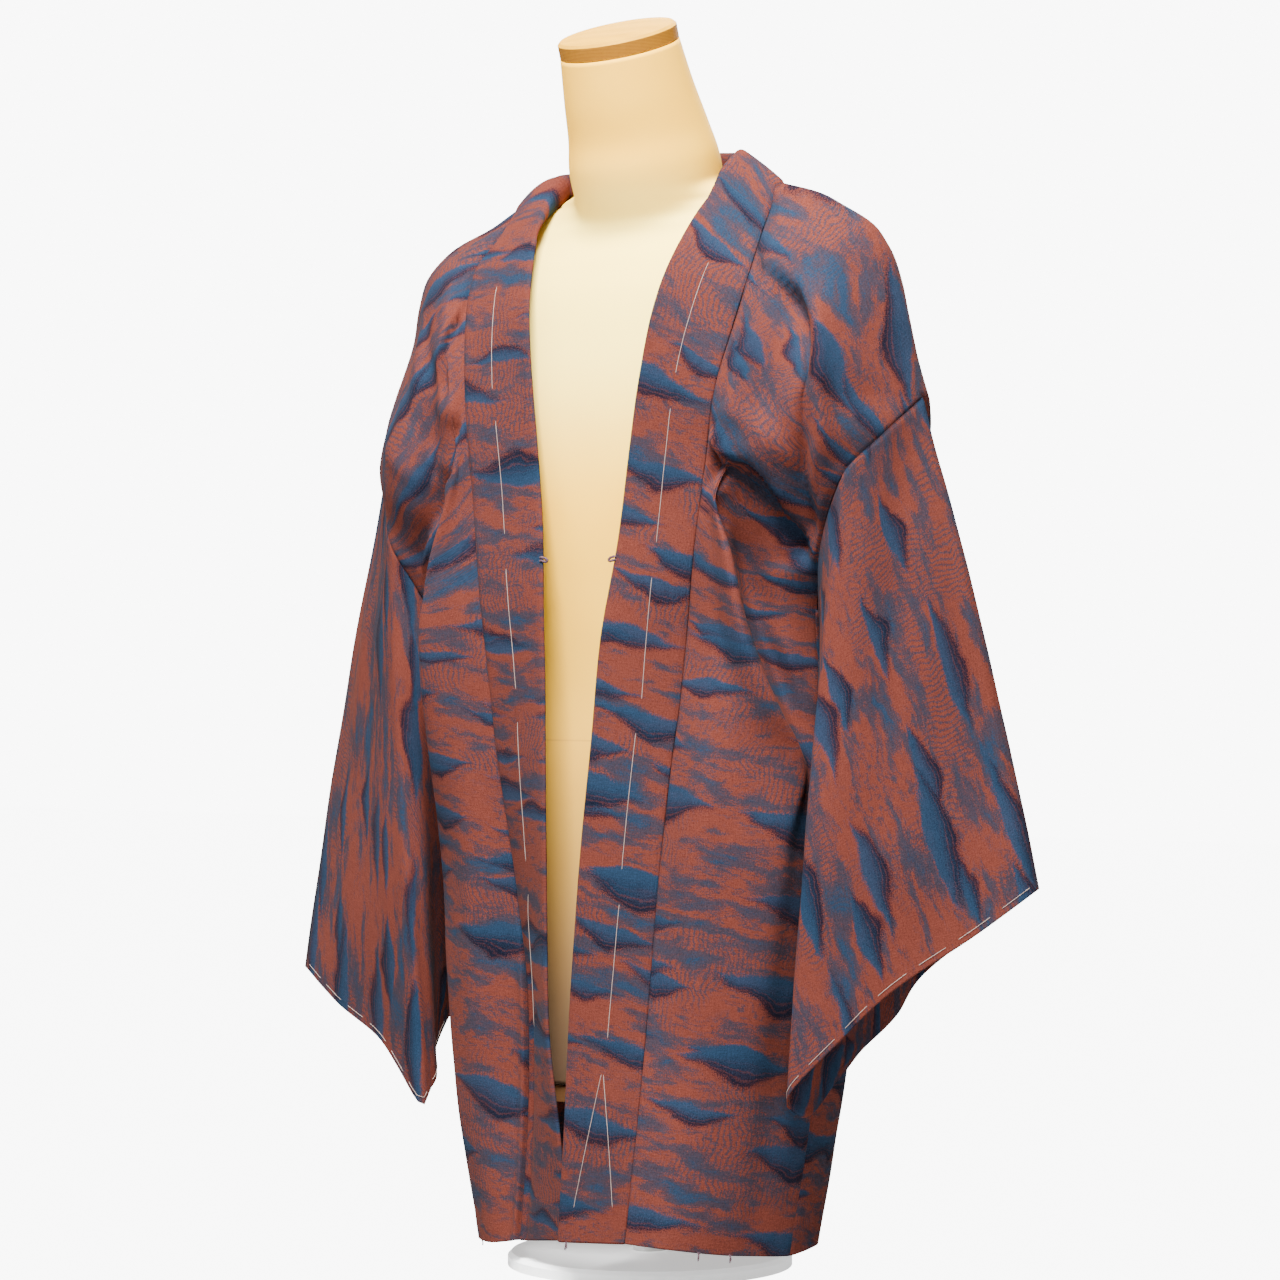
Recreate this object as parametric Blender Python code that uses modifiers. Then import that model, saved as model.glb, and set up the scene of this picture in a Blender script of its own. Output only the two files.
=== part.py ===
"""Haori jacket on a limbless dress form, at real size.

Frame: the floor is z = 0, the form's axis is x = y = 0, the front faces -Y and the
wearer's left is +X. Every size below is in millimetres; MM turns it into metres.

The jacket is built from the pieces a maker cuts: two body lengths that run from the
front hem over the shoulder to the back hem, two side gussets, two sleeves, one long
collar and two tie loops. Each piece is an open sheet, worked out from short tables of
named lines on the cloth, and gets its wall from offset_wall().
"""

import math

import bpy
import numpy as np
from mathutils import Matrix

MM = 0.001

# ---------------------------------------------------------------- driving dimensions
BODY_WALL = 2.0          # lined body and sleeve cloth
COLLAR_WALL = 3.0        # the collar is folded cloth, so it is thicker
SEAM_GAP = 0.3           # air between two pieces that are sewn together
ARMHOLE_GAP = 0.6        # the same, where the sleeve turns sharply from the body
TWIST_GAP = 0.3          # more air where the collar's seam twists by the neck
NECK_GAP = 0.8           # air between the collar and the top edge of the body

ARMHOLE_TOP = {"left": 650.0, "right": 608.0}     # where the sleeve's top fold starts
UNDERARM = {"left": 500.0, "right": 470.0}        # lower end of the armhole seam
HEM = 30.0                                        # mean hem height, before the sag
NECK = 812.0                                      # mean height of the neck seam
SIGN = {"left": 1.0, "right": -1.0}

# Mesh density: steps along each stretch of the cloth.
FRONT_STEPS = 14
BACK_STEPS = 10
HEM_TO_DRAG_STEPS = 8
DRAG_TO_UNDERARM_STEPS = 6
ARMHOLE_STEPS_BELOW_FOLD = 4
ARMHOLE_STEPS_ABOVE_FOLD = 6
SHOULDER_STEPS = 9
SLEEVE_STEPS = 10
FURI_STEPS = 4
COLLAR_STEPS = 7
GUSSET_STEPS = 3

# ------------------------------------------------------------------- the body's lines
# Plan position (x, y) of named lines on the front, at each height. x is counted from
# the centre towards the side for both halves. "ridge" is the edge of the deep drag
# fold under the arm, "hollow" its valley and "fold" the drape fold by the armhole.
FRONT_PLACES = (0.0, 0.22, 0.45, 0.56, 0.78)
FRONT_LINES = {
    "left": (
        # height, seam, front, ridge, hollow, fold
        (30, (64, -140), (100, -131), (128, -98), (136, -82), (143, -62)),
        (120, (69, -130), (104, -123), (138, -95), (147, -78), (154, -56)),
        (215, (71, -117), (108, -116), (149, -90), (157, -73), (163, -51)),
        (325, (75, -105), (114, -109), (163, -78), (165, -62), (168, -44)),
        (394, (79, -96), (122, -101), (169, -64), (162, -50), (167, -39)),
        (425, (82, -92), (121, -98), (160, -82), (149, -58), (160, -44)),
        (465, (85, -89), (116, -95), (147, -95), (134, -63), (152, -48)),
        (540, (94, -92), (111, -97), (129, -99), (117, -71), (146, -62)),
        (580, (99, -90), (107, -95), (118, -99), (124, -84), (162, -78)),
        (610, (102, -88), (109, -92), (118, -94), (136, -90), (180, -86)),
        (650, (107, -87), (117, -90), (131, -92), (149, -86), (190, -86)),
        (711, (117, -70), (129, -76), (143, -78), (158, -73), (192, -66)),
        (735, (120, -61), (131, -66), (143, -69), (158, -64), (190, -53)),
        (764, (118, -40), (128, -47), (140, -50), (155, -47), (182, -37)),
        (780, (116, -27), (125, -33), (136, -35), (149, -33), (172, -24)),
        (793, (116, -18), (123, -22), (131, -24), (141, -22), (156, -15)),
        (805, (116, -13), (119.5, -14), (124.5, -13.5), (130, -12), (138, -8)),
        (812, (115.5, -10), (115.7, -8.5), (116, -6.8), (116.2, -5.2), (116.6, -2.6)),
    ),
    "right": (
        (30, (57, -92), (86, -86), (113, -63), (121, -53), (128, -42)),
        (120, (55, -84), (94, -83), (133, -64), (140, -54), (145, -43)),
        (211, (57, -82), (104, -82), (149, -57), (154, -49), (157, -40)),
        (290, (66, -84), (110, -85), (155, -53), (158, -46), (161, -38)),
        (396, (81, -90), (119, -91), (152, -75), (147, -54), (155, -42)),
        (446, (87, -90), (119, -93), (150, -86), (140, -57), (150, -44)),
        (500, (95, -89), (121, -94), (145, -91), (130, -63), (146, -52)),
        (545, (100, -88), (118, -93), (134, -93), (126, -73), (160, -69)),
        (580, (104, -86), (115, -90), (125, -92), (133, -80), (178, -81)),
        (608, (107, -86), (114, -89), (121, -90), (138, -84), (186, -81)),
        (660, (114, -82), (122, -86), (132, -87), (147, -82), (180, -71)),
        (704, (121, -72), (130, -77), (141, -78), (152, -73), (175, -57)),
        (735, (126, -60), (134, -66), (144, -67), (155, -61), (177, -45)),
        (760, (126, -47), (134, -51), (143, -51), (153, -46), (172, -33)),
        (778, (121, -31), (127, -34), (134, -35), (141, -30), (156, -19)),
        (793, (117.5, -19), (120, -20), (123, -19), (127, -16), (135, -10)),
        (804, (116, -13), (117.3, -12.5), (119, -11), (120.7, -9), (124, -5)),
        (812, (115.5, -10), (115.7, -8.5), (116, -6.8), (116.2, -5.2), (116.6, -2.6)),
    ),
}
# The fold of the cloth over the shoulder, from the armhole up to the neck: x at y = 0.
SHOULDER_LINE = {
    "left": ((650, 234), (683, 225), (711, 219), (735, 213), (764, 203), (780, 191),
             (793, 169), (805, 144), (812, 117)),
    "right": ((608, 246), (667, 230), (704, 217), (735, 212), (757, 204), (768, 194),
              (779, 179), (793, 146), (804, 129), (812, 117)),
}
# Free side of the front and of the back below the armhole's top: the armhole seam down
# to the underarm, then the gusset seam down to the hem.
FRONT_SIDE = {
    "left": ((30, 147, -42), (120, 158, -32), (215, 166, -29), (325, 169, -28),
             (425, 166, -29), (500, 166, -36), (540, 178, -54), (580, 196, -64),
             (592, 203, -65), (624, 226, -40), (650, 234, 0)),
    "right": ((30, 133, -29), (120, 149, -31), (211, 160, -29), (290, 163, -28),
              (396, 163, -29), (470, 164, -34), (515, 180, -55), (550, 202, -60),
              (583, 222, -35), (608, 246, 0)),
}
BACK_SIDE = {
    "left": ((30, 136, 20), (75, 143, 24), (105, 147, 27), (132, 152, 29),
             (161, 156, 30), (215, 161, 25), (325, 168, 14),
             (425, 166, 8), (500, 166, 8), (540, 176, 42), (580, 194, 62),
             (592, 199, 63), (624, 214, 40), (650, 234, 0)),
    "right": ((30, 134, 26), (120, 147, 26), (211, 160, 24), (290, 165, 16),
              (396, 165, 10), (470, 165, 8), (515, 182, 46), (550, 208, 62),
              (583, 237, 44), (608, 246, 0)),
}
BACK_PLACES = (1.3, 1.65, 2.0)
BACK_LINES = (
    # height, flank, blade, centre
    (30, (110, 63), (72, 103), (0, 128)),
    (120, (126, 65), (86, 106), (0, 126)),
    (215, (140, 66), (98, 107), (0, 122)),
    (325, (152, 64), (114, 106), (0, 117)),
    (465, (154, 58), (117, 101), (0, 112)),
    (540, (156, 74), (122, 104), (0, 112)),
    (610, (180, 82), (138, 106), (0, 114)),
    (650, (180, 55), (148, 98), (0, 114)),
    (711, (177, 43), (147, 86), (0, 111)),
    (735, (180, 46), (145, 83), (0, 108)),
    (764, (169, 37), (134, 74), (0, 102)),
    (780, (156, 31), (122, 68), (0, 97)),
    (793, (140, 25), (107, 62), (0, 92)),
    (805, (120, 19), (90, 57), (0, 86)),
    (812, (104, 22), (77, 55), (0, 82)),
)
# How far each line's hem lies above or below HEM, and the neck edge above NECK.
SAG_PLACES = (0.0, 0.22, 0.45, 0.78, 1.0, 1.5, 2.0)
HEM_SAG = {
    "left": (8, 5, -1, -5, -7, -12, -8),
    "right": (-5, -10, -13, -16, -18, -12, -8),
}
NECK_RISE = {
    "left": (-3, -2.5, -1.8, 0, 1, 1, 0),
    "right": (-7, -6.6, -6.1, -4.8, -4, -2, 0),
}
SAG_REACH = 190.0        # the hem's sag fades out over this height
RISE_REACH = 30.0
BLEND_BELOW_ARMHOLE = 60.0
DRAG_DEPTH = 115.0       # the drag folds under the arm reach this far below it

# Soft hanging folds of the back: place across, height of the fold, half width (in
# places) and the height where it starts. They grow towards the hem.
BACK_FOLDS = (
    (1.36, -9.0, 0.07, 430.0),
    (1.50, 5.0, 0.07, 520.0),
    (1.68, -10.0, 0.08, 560.0),
    (1.86, 7.0, 0.08, 600.0),
)

# ---------------------------------------------------------------------- sleeve mouths
# Ring of named points round the sleeve at the wrist. Places run from the top fold (0)
# down the front, round the inside by the body and up the back to the top fold (1).
FOLD_PLACE = 0.16        # the front's hanging fold edge
UNDERARM_PLACE = 0.40
FOLD_START = 0.39        # share of the armhole seam, from its top, where the fold starts
WRIST_RINGS = {
    "left": (
        (0.00, 320, 16, 294),    # top fold
        (0.03, 282, -16, 259),   # front, near the fold
        (0.06, 244, -47, 228),   # front
        (0.115, 201, -73, 182),  # front, low
        (0.16, 166, -82, 143),   # hanging fold, the tip
        (0.20, 168, -68, 130),   # under the tip
        (0.34, 178, -28, 152),   # inside
        (0.50, 181, 5, 172),     # inside, next to the body
        (0.66, 189, 40, 193),    # inside, back
        (0.84, 208, 70, 232),    # back fold
        (0.92, 262, 58, 267),    # back
    ),
    "right": (
        (0.00, 334, 10, 210),
        (0.06, 277, -20, 184),
        (0.115, 217, -44, 158),
        (0.14, 195, -53, 139),
        (0.16, 172, -62, 118),
        (0.20, 166, -52, 128),
        (0.34, 181, -24, 155),
        (0.50, 180, 5, 190),
        (0.66, 186, 36, 196),
        (0.84, 208, 66, 190),
        (0.92, 270, 52, 200),
    ),
}
FURI_LOW = {"left": (179, -6, 440), "right": (178, -6, 410)}  # lowest point of the slit
SLEEVE_BOW = 4.0         # how far the sleeve's middle stands out from straight lines

# ---------------------------------------------------------------------------- collar
# The collar's inner edge, which becomes the crest of the turned collar at the neck.
# Each row goes with the body's seam line at the same height.
INNER_EDGE = {
    "left": (
        (30, 4, -134, 34), (120, 7, -130, 123), (215, 10, -126, 220),
        (325, 16, -120, 331), (394, 21, -115, 401), (465, 25, -109, 473),
        (540, 35, -100, 550), (605, 41, -94, 617), (650, 47, -91, 666),
        (690, 54, -84, 715), (722, 60, -71, 750), (750, 67, -50, 783),
        (780, 75, -28, 811), (800, 77, -12, 829), (812, 78, 3, 840),
    ),
    "right": (
        (30, 5, -125, 34), (120, 8, -126, 124), (211, 12, -126, 216),
        (290, 16, -122, 296), (365, 19, -118, 372), (435, 24, -111, 442),
        (490, 29, -105, 498), (545, 34, -98, 555), (600, 41, -94, 612),
        (650, 48, -91, 664), (704, 56, -83, 717), (735, 63, -70, 743),
        (757, 69, -56, 767), (778, 75, -40, 788), (795, 82, -22, 807),
        (804, 84, -9, 819), (812, 83, 5, 831),
    ),
}
# Crest of the turned collar behind the neck, from the wearer's left to the right.
NAPE_CREST = ((78, 3, 840), (63, 30, 842), (43, 53, 845), (0, 67, 848),
              (-44, 54, 844), (-69, 30, 836), (-83, 5, 831))
TURN_AT_NAPE = 9.0       # part of the width that is turned down inside at the nape
TURN_STARTS = 765.0      # seam height where the turn begins on each front
ROLL_RADIUS = 6.5        # roll of the turned collar's fold
FALL_BULGE = {"left": 1.0, "right": 5.0}     # how far the collar's fall rounds up

LOOP_HEIGHT = 533.0      # tie loops, on the collar's inner edge
LOOP_RADIUS = 3.6
LOOP_CORD = 1.1

# -------------------------------------------------------------------------- dress form
# Rings of the torso: height, half width, depth to the front, depth to the back and
# roundness (2 is an ellipse, less is more pointed).
TORSO_RINGS = (
    (140, 137, 78, 98, 2.2),
    (215, 142, 80, 102, 2.2),
    (290, 144, 79, 104, 2.2),
    (365, 136, 77, 100, 2.2),
    (430, 122, 73, 92, 2.1),
    (500, 122, 78, 93, 2.1),
    (560, 134, 84, 99, 2.1),
    (610, 146, 86, 103, 2.1),
    (650, 160, 85, 105, 2.0),
    (700, 182, 77, 103, 1.8),
    (735, 193, 67, 97, 1.65),
    (754, 197, 57, 92, 1.55),
    (764, 191, 51, 88, 1.5),
    (776, 177, 44, 82, 1.42),
    (786, 159, 38, 76, 1.4),
    (796, 138, 30, 68, 1.35),
    (806, 84, 26, 54, 1.5),
)
# Rings of the neck: height of the centre, centre y, radius and forward tilt (degrees).
NECK_RINGS = (
    (735, 18, 30, 0),
    (764, 12, 42, 2),
    (793, 5, 52, 6),
    (815, -1, 57, 10),
    (835, -8, 57.5, 14),
    (858, -17, 53.5, 18),
    (885, -30, 49.5, 20),
    (917, -43, 45.5, 21),
)
TORSO_LEVELS = (750, 764, 776, 786, 796, 806)
NECK_LEVELS = (818, 828, 840, 855, 874, 895, 917)
FORM_STEPS = 36
MERGE_POWER = 7.0        # sharpness of the join between the shoulders and the neck

CAP_RADIUS = 45.5
CAP_HEIGHT = 12.5
CAP_DOME = 2.5
CAP_EDGE = 2.0
CAP_TILT = 21.0

BOARD_HEIGHT = 12.0
POLE_RADIUS = 13.0
BASE_RADIUS = 108.0
BASE_HEIGHT = 10.0
SEAT = 0.3               # air between stacked hard pieces

COLOURS = {
    "cloth": (0.40, 0.09, 0.06, 1.0),
    "collar": (0.44, 0.11, 0.08, 1.0),
    "form": (0.87, 0.78, 0.58, 1.0),
    "wood": (0.62, 0.33, 0.12, 1.0),
    "metal": (0.30, 0.30, 0.31, 1.0),
}


# ------------------------------------------------------------------- curve and surface
def through(places, values, wanted):
    """Smooth curve through values at rising places, read at the wanted places."""
    places = np.asarray(places, float)
    values = np.asarray(values, float)
    wanted = np.clip(np.atleast_1d(wanted), places[0], places[-1])
    slopes = np.gradient(values, places, axis=0)
    i = np.clip(np.searchsorted(places, wanted, side="right") - 1, 0, len(places) - 2)
    step = places[i + 1] - places[i]
    shape = (len(wanted),) + (1,) * (values.ndim - 1)
    t = ((wanted - places[i]) / step).reshape(shape)
    step = step.reshape(shape)
    rise = t * t * (3 - 2 * t)
    return (
        values[i] * (1 - rise)
        + values[i + 1] * rise
        + slopes[i] * step * (t * (1 - t) ** 2)
        - slopes[i + 1] * step * (t * t * (1 - t))
    )


def smoothstep(value):
    value = np.clip(value, 0.0, 1.0)
    return value * value * (3 - 2 * value)


def shoulder_point(side, heights):
    rows = np.array(SHOULDER_LINE[side], float)
    x = through(rows[:, 0], rows[:, 1], heights)
    return np.stack([x, np.zeros_like(x)], axis=-1)


def edge_line(side, table, heights):
    """Outer line of a body half: the shoulder fold above the armhole, its side below."""
    rows = np.array(table[side], float)
    below = through(rows[:, 0], rows[:, 1:], np.minimum(heights, ARMHOLE_TOP[side]))
    above = shoulder_point(side, np.maximum(heights, ARMHOLE_TOP[side]))
    return np.where((heights >= ARMHOLE_TOP[side])[:, None], above, below)


def table_lines(table, heights):
    """Plan positions of a table's named lines at each height: [line, height, xy]."""
    rows = [row[0] for row in table]
    count = len(table[0]) - 1
    columns = [[row[1 + k] for row in table] for k in range(count)]
    return np.stack([through(rows, column, heights) for column in columns])


def body_surface(side, part, across, heights):
    """Outer face of the front (across 0 to 1) or back (1 to 2) of one body half."""
    heights = np.asarray(heights, float)
    front = table_lines(FRONT_LINES[side], heights)
    back = table_lines(BACK_LINES, heights)
    side_table = FRONT_SIDE if part == "front" else BACK_SIDE
    edge = edge_line(side, side_table, heights)[None]
    row_places = FRONT_PLACES + (1.0,) + BACK_PLACES
    whole = through(row_places, np.concatenate([front, edge, back]), across)
    if part == "front":
        alone = through(FRONT_PLACES + (1.0,), np.concatenate([front, edge]), across)
    else:
        alone = through((1.0,) + BACK_PLACES, np.concatenate([edge, back]), across)
    start = ARMHOLE_TOP[side] - BLEND_BELOW_ARMHOLE
    share = smoothstep((heights - start) / BLEND_BELOW_ARMHOLE)[None, :, None]
    plan = whole * share + alone * (1 - share)

    sag = through(SAG_PLACES, HEM_SAG[side], across)[:, None]
    rise = through(SAG_PLACES, NECK_RISE[side], across)[:, None]
    near_hem = np.clip(1 - (heights - HEM) / SAG_REACH, 0, 1) ** 2
    near_neck = np.clip(1 - (NECK - heights) / RISE_REACH, 0, 1) ** 2
    z = heights + sag * near_hem + rise * near_neck
    points = np.concatenate([plan, z[..., None]], axis=-1)
    if part == "back":
        points = points + back_fold_offset(points, across, heights)
    points[..., 0] *= SIGN[side]
    return points


def back_fold_offset(points, across, heights):
    """Hanging folds, straight out from the axis, growing towards the hem."""
    out = points.copy()
    out[..., 2] = 0
    out /= np.linalg.norm(out, axis=-1, keepdims=True)
    size = np.zeros(points.shape[:2])
    for place, height, half_width, top in BACK_FOLDS:
        bump = np.exp(-(((across - place) / half_width) ** 2))[:, None]
        size += height * bump * smoothstep((top - heights) / (top - HEM))[None]
    return out * size[..., None]


def row_heights(side):
    """Heights of the cloth rows, with a row at the underarm and at the armhole's top."""
    low, top = UNDERARM[side], ARMHOLE_TOP[side]
    fold = top - FOLD_START * (top - low)
    drag = low - DRAG_DEPTH
    lower = np.linspace(HEM, drag, HEM_TO_DRAG_STEPS + 1)
    middle = np.linspace(drag, low, DRAG_TO_UNDERARM_STEPS + 1)[1:]
    below = np.linspace(low, fold, ARMHOLE_STEPS_BELOW_FOLD + 1)[1:]
    above = np.linspace(fold, top, ARMHOLE_STEPS_ABOVE_FOLD + 1)[1:]
    shares = 1 - (1 - np.linspace(0, 1, SHOULDER_STEPS + 1)[1:]) ** 1.4
    return np.concatenate([lower, middle, below, above, top + (NECK - top) * shares])


def grid_normals(points, closed=False):
    """Unit normals of a grid of points; closed wraps the first axis."""
    if closed:
        du = np.roll(points, -1, axis=0) - np.roll(points, 1, axis=0)
    else:
        du = np.gradient(points, axis=0)
    dv = np.gradient(points, axis=1)
    return unit(np.cross(du, dv))


def unit(vectors):
    return vectors / np.maximum(np.linalg.norm(vectors, axis=-1, keepdims=True), 1e-9)


def grid_faces(index, closed=False):
    """Quads over a grid of vertex numbers."""
    across = range(index.shape[0] if closed else index.shape[0] - 1)
    faces = []
    for i in across:
        k = (i + 1) % index.shape[0]
        for j in range(index.shape[1] - 1):
            faces.append((index[i, j], index[k, j], index[k, j + 1], index[i, j + 1]))
    return faces


def draw_back(points, edge, inner, gap):
    """Moves an edge row of points towards its inner neighbours by a gap."""
    points[edge] += unit(points[inner] - points[edge]) * gap


# ---------------------------------------------------------------------- making objects
def material(kind, roughness=0.85, metallic=0.0):
    found = bpy.data.materials.get(kind)
    if found:
        return found
    new = bpy.data.materials.new(kind)
    new.use_nodes = True
    shader = new.node_tree.nodes["Principled BSDF"]
    shader.inputs["Base Color"].default_value = COLOURS[kind]
    shader.inputs["Roughness"].default_value = roughness
    shader.inputs["Metallic"].default_value = metallic
    return new


def add_object(name, mesh, kind, smooth=True):
    mesh.materials.append(material(kind))
    for face in mesh.polygons:
        face.use_smooth = smooth
    new = bpy.data.objects.new(name, mesh)
    bpy.data.collections["Haori jacket"].objects.link(new)
    return new


def offset_wall(name, points, normals, faces, wall, kind):
    """Closed wall: the outer face, an inner face one wall inwards and the rim."""
    count = len(points)
    inner = points - normals * wall
    solid = [tuple(f) for f in faces]
    solid += [tuple(v + count for v in reversed(f)) for f in faces]
    used = {}
    for face in faces:
        for a, b in zip(face, face[1:] + face[:1]):
            used[(a, b)] = True
    for a, b in used:
        if (b, a) not in used:
            solid.append((b, a, a + count, b + count))
    mesh = bpy.data.meshes.new(name)
    vertices = np.concatenate([points, inner]) * MM
    mesh.from_pydata(vertices.tolist(), [], [tuple(int(v) for v in f) for f in solid])
    mesh.validate()
    return add_object(name, mesh, kind)


# --------------------------------------------------------------------------- the cloth
def build_sheets():
    """Outer faces and normals of every cloth piece, with matching seams."""
    sheets = {}
    for side in ("left", "right"):
        heights = row_heights(side)
        front = body_surface(side, "front", np.linspace(0, 1, FRONT_STEPS + 1), heights)
        back = body_surface(side, "back", np.linspace(1, 2, BACK_STEPS + 1), heights)
        sheets[side, "front"] = front
        sheets[side, "back"] = back
        sheets[side, "gusset"] = gusset_surface(side, front, back)
        sheets[side, "sleeve"] = sleeve_surface(side, front, back)
    return sheets


def side_rows(side, low, high):
    heights = row_heights(side)
    return np.flatnonzero((heights >= low - 1e-6) & (heights <= high + 1e-6))


def gusset_surface(side, front, back):
    """Wedge between the front's and the back's side edges, hem to underarm."""
    rows = side_rows(side, HEM, UNDERARM[side])[:-1]
    a, b = front[-1, rows], back[0, rows]
    share = np.linspace(0, 1, GUSSET_STEPS + 1)[:, None, None]
    bow = (4 * share * (1 - share)) * np.array([2.0 * SIGN[side], 0, 0])
    return a * (1 - share) + b * share + bow


def sleeve_ring_places():
    """Places round the sleeve, one for each row of the armhole seam and the slit."""
    above = np.linspace(0, FOLD_PLACE, ARMHOLE_STEPS_ABOVE_FOLD + 1)
    below = np.linspace(FOLD_PLACE, UNDERARM_PLACE, ARMHOLE_STEPS_BELOW_FOLD + 1)[1:]
    slit = np.linspace(UNDERARM_PLACE, 1 - UNDERARM_PLACE, FURI_STEPS + 1)[1:-1]
    half = np.concatenate([above, below])
    return np.concatenate([half, slit, 1 - half[:0:-1]])


def sleeve_surface(side, front, back):
    """Tube from the armhole seam and the open slit under it down to the wrist."""
    rows = side_rows(side, UNDERARM[side], ARMHOLE_TOP[side])[::-1]
    down_front, down_back = front[-1, rows], back[0, rows]
    slit = np.linspace(0, 1, FURI_STEPS + 1)[1:-1, None]
    low = np.array(FURI_LOW[side], float)
    low[0] *= SIGN[side]
    under = (
        down_front[-1] * (1 - slit) ** 2
        + (2 * low - (down_front[-1] + down_back[-1]) / 2) * 2 * slit * (1 - slit)
        + down_back[-1] * slit**2
    )
    start = np.concatenate([down_front, under, down_back[:0:-1]])

    ring = np.array(WRIST_RINGS[side] + ((1.0,) + WRIST_RINGS[side][0][1:],), float)
    places = sleeve_ring_places()
    end = through(ring[:, 0], ring[:, 1:], places)
    end[:, 0] *= SIGN[side]

    along = np.linspace(0, 1, SLEEVE_STEPS + 1)[None, :, None]
    points = start[:, None] * (1 - along) + end[:, None] * along
    middle = points.mean(axis=0, keepdims=True)
    out = points - middle
    out[..., 2] = 0
    turn = 2 * math.pi * places
    swell = np.maximum(np.abs(np.sin(turn)), np.cos(turn))[:, None, None]
    bow = SLEEVE_BOW * np.sin(math.pi * along) * swell
    return points + unit(out) * bow * smoothstep(along * 4)


def collar_surface(sheets):
    """Long band: up one front, round the nape and down the other front."""
    left = collar_front("left", sheets)
    right = collar_front("right", sheets)
    nape = collar_nape(sheets)
    return np.concatenate([left, nape, right[:, ::-1]], axis=1)


def collar_front(side, sheets):
    heights = row_heights(side)
    outer = sheets[side, "front"][0]
    rows = np.array(INNER_EDGE[side], float)
    crest = through(rows[:, 0], rows[:, 1:], heights)
    crest[:, 0] *= SIGN[side]
    turn = smoothstep((heights - TURN_STARTS) / (NECK - TURN_STARTS)) * TURN_AT_NAPE
    return band(outer, crest, turn, np.full(len(turn), FALL_BULGE[side]))


def collar_nape(sheets):
    """Stations behind the neck, one for each column of the back panels."""
    left = sheets["left", "back"][:, -1]
    right = sheets["right", "back"][:, -1]
    outer = np.concatenate([left, right[-2::-1]])
    places = np.linspace(0, 1, len(NAPE_CREST))
    stations = np.linspace(0, 1, len(outer) + 2)[1:-1]
    crest = through(places, NAPE_CREST, stations)
    turn = np.full(len(outer), TURN_AT_NAPE)
    bulge = np.linspace(FALL_BULGE["left"], FALL_BULGE["right"], len(outer))
    return band(outer, crest, turn, bulge)


def band(outer, crest, turn, bulge):
    """Collar points across each station, from its inner edge to its seam edge.

    Where the collar is turned, the inner layer hangs down, the fold is a small roll and
    the rest falls to the seam. Where it lies flat, the fold is its inner edge.
    """
    up = np.array([0.0, 0.0, 1.0])
    shares = np.linspace(0, 1, COLLAR_STEPS + 1)
    points = np.empty((COLLAR_STEPS + 1, len(outer), 3))
    for k in range(len(outer)):
        turned_share = turn[k] / TURN_AT_NAPE
        roll = ROLL_RADIUS * turned_share
        fall = outer[k] - crest[k]
        out = unit(fall * np.array([1.0, 1.0, 0.0]))
        hinge = crest[k] - up * roll
        end = math.atan2(fall @ out, -fall @ up)
        bends = np.linspace(math.pi, end, 8)[:, None]
        arc = hinge + (out * np.cos(bends) + up * np.sin(bends)) * roll
        along = np.linspace(0, 1, 9)[1:, None]
        rounded = up * bulge[k] * turned_share * 4 * along * (1 - along)
        line = np.concatenate([
            [arc[0] - up * turn[k]],
            arc if roll > 0.01 else arc[:1],
            arc[-1] + (outer[k] - arc[-1]) * along + rounded,
        ])
        steps = np.linalg.norm(np.diff(line, axis=0), axis=1)
        reach = np.concatenate([[0], np.cumsum(steps)])
        for axis in range(3):
            points[:, k, axis] = np.interp(shares * reach[-1], reach, line[:, axis])
    return points


def nape_stations(side, first):
    """Collar stations behind the neck that go with a back panel's columns."""
    columns = np.arange(BACK_STEPS + 1)
    return first + (columns if side == "left" else 2 * BACK_STEPS - columns)


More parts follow.
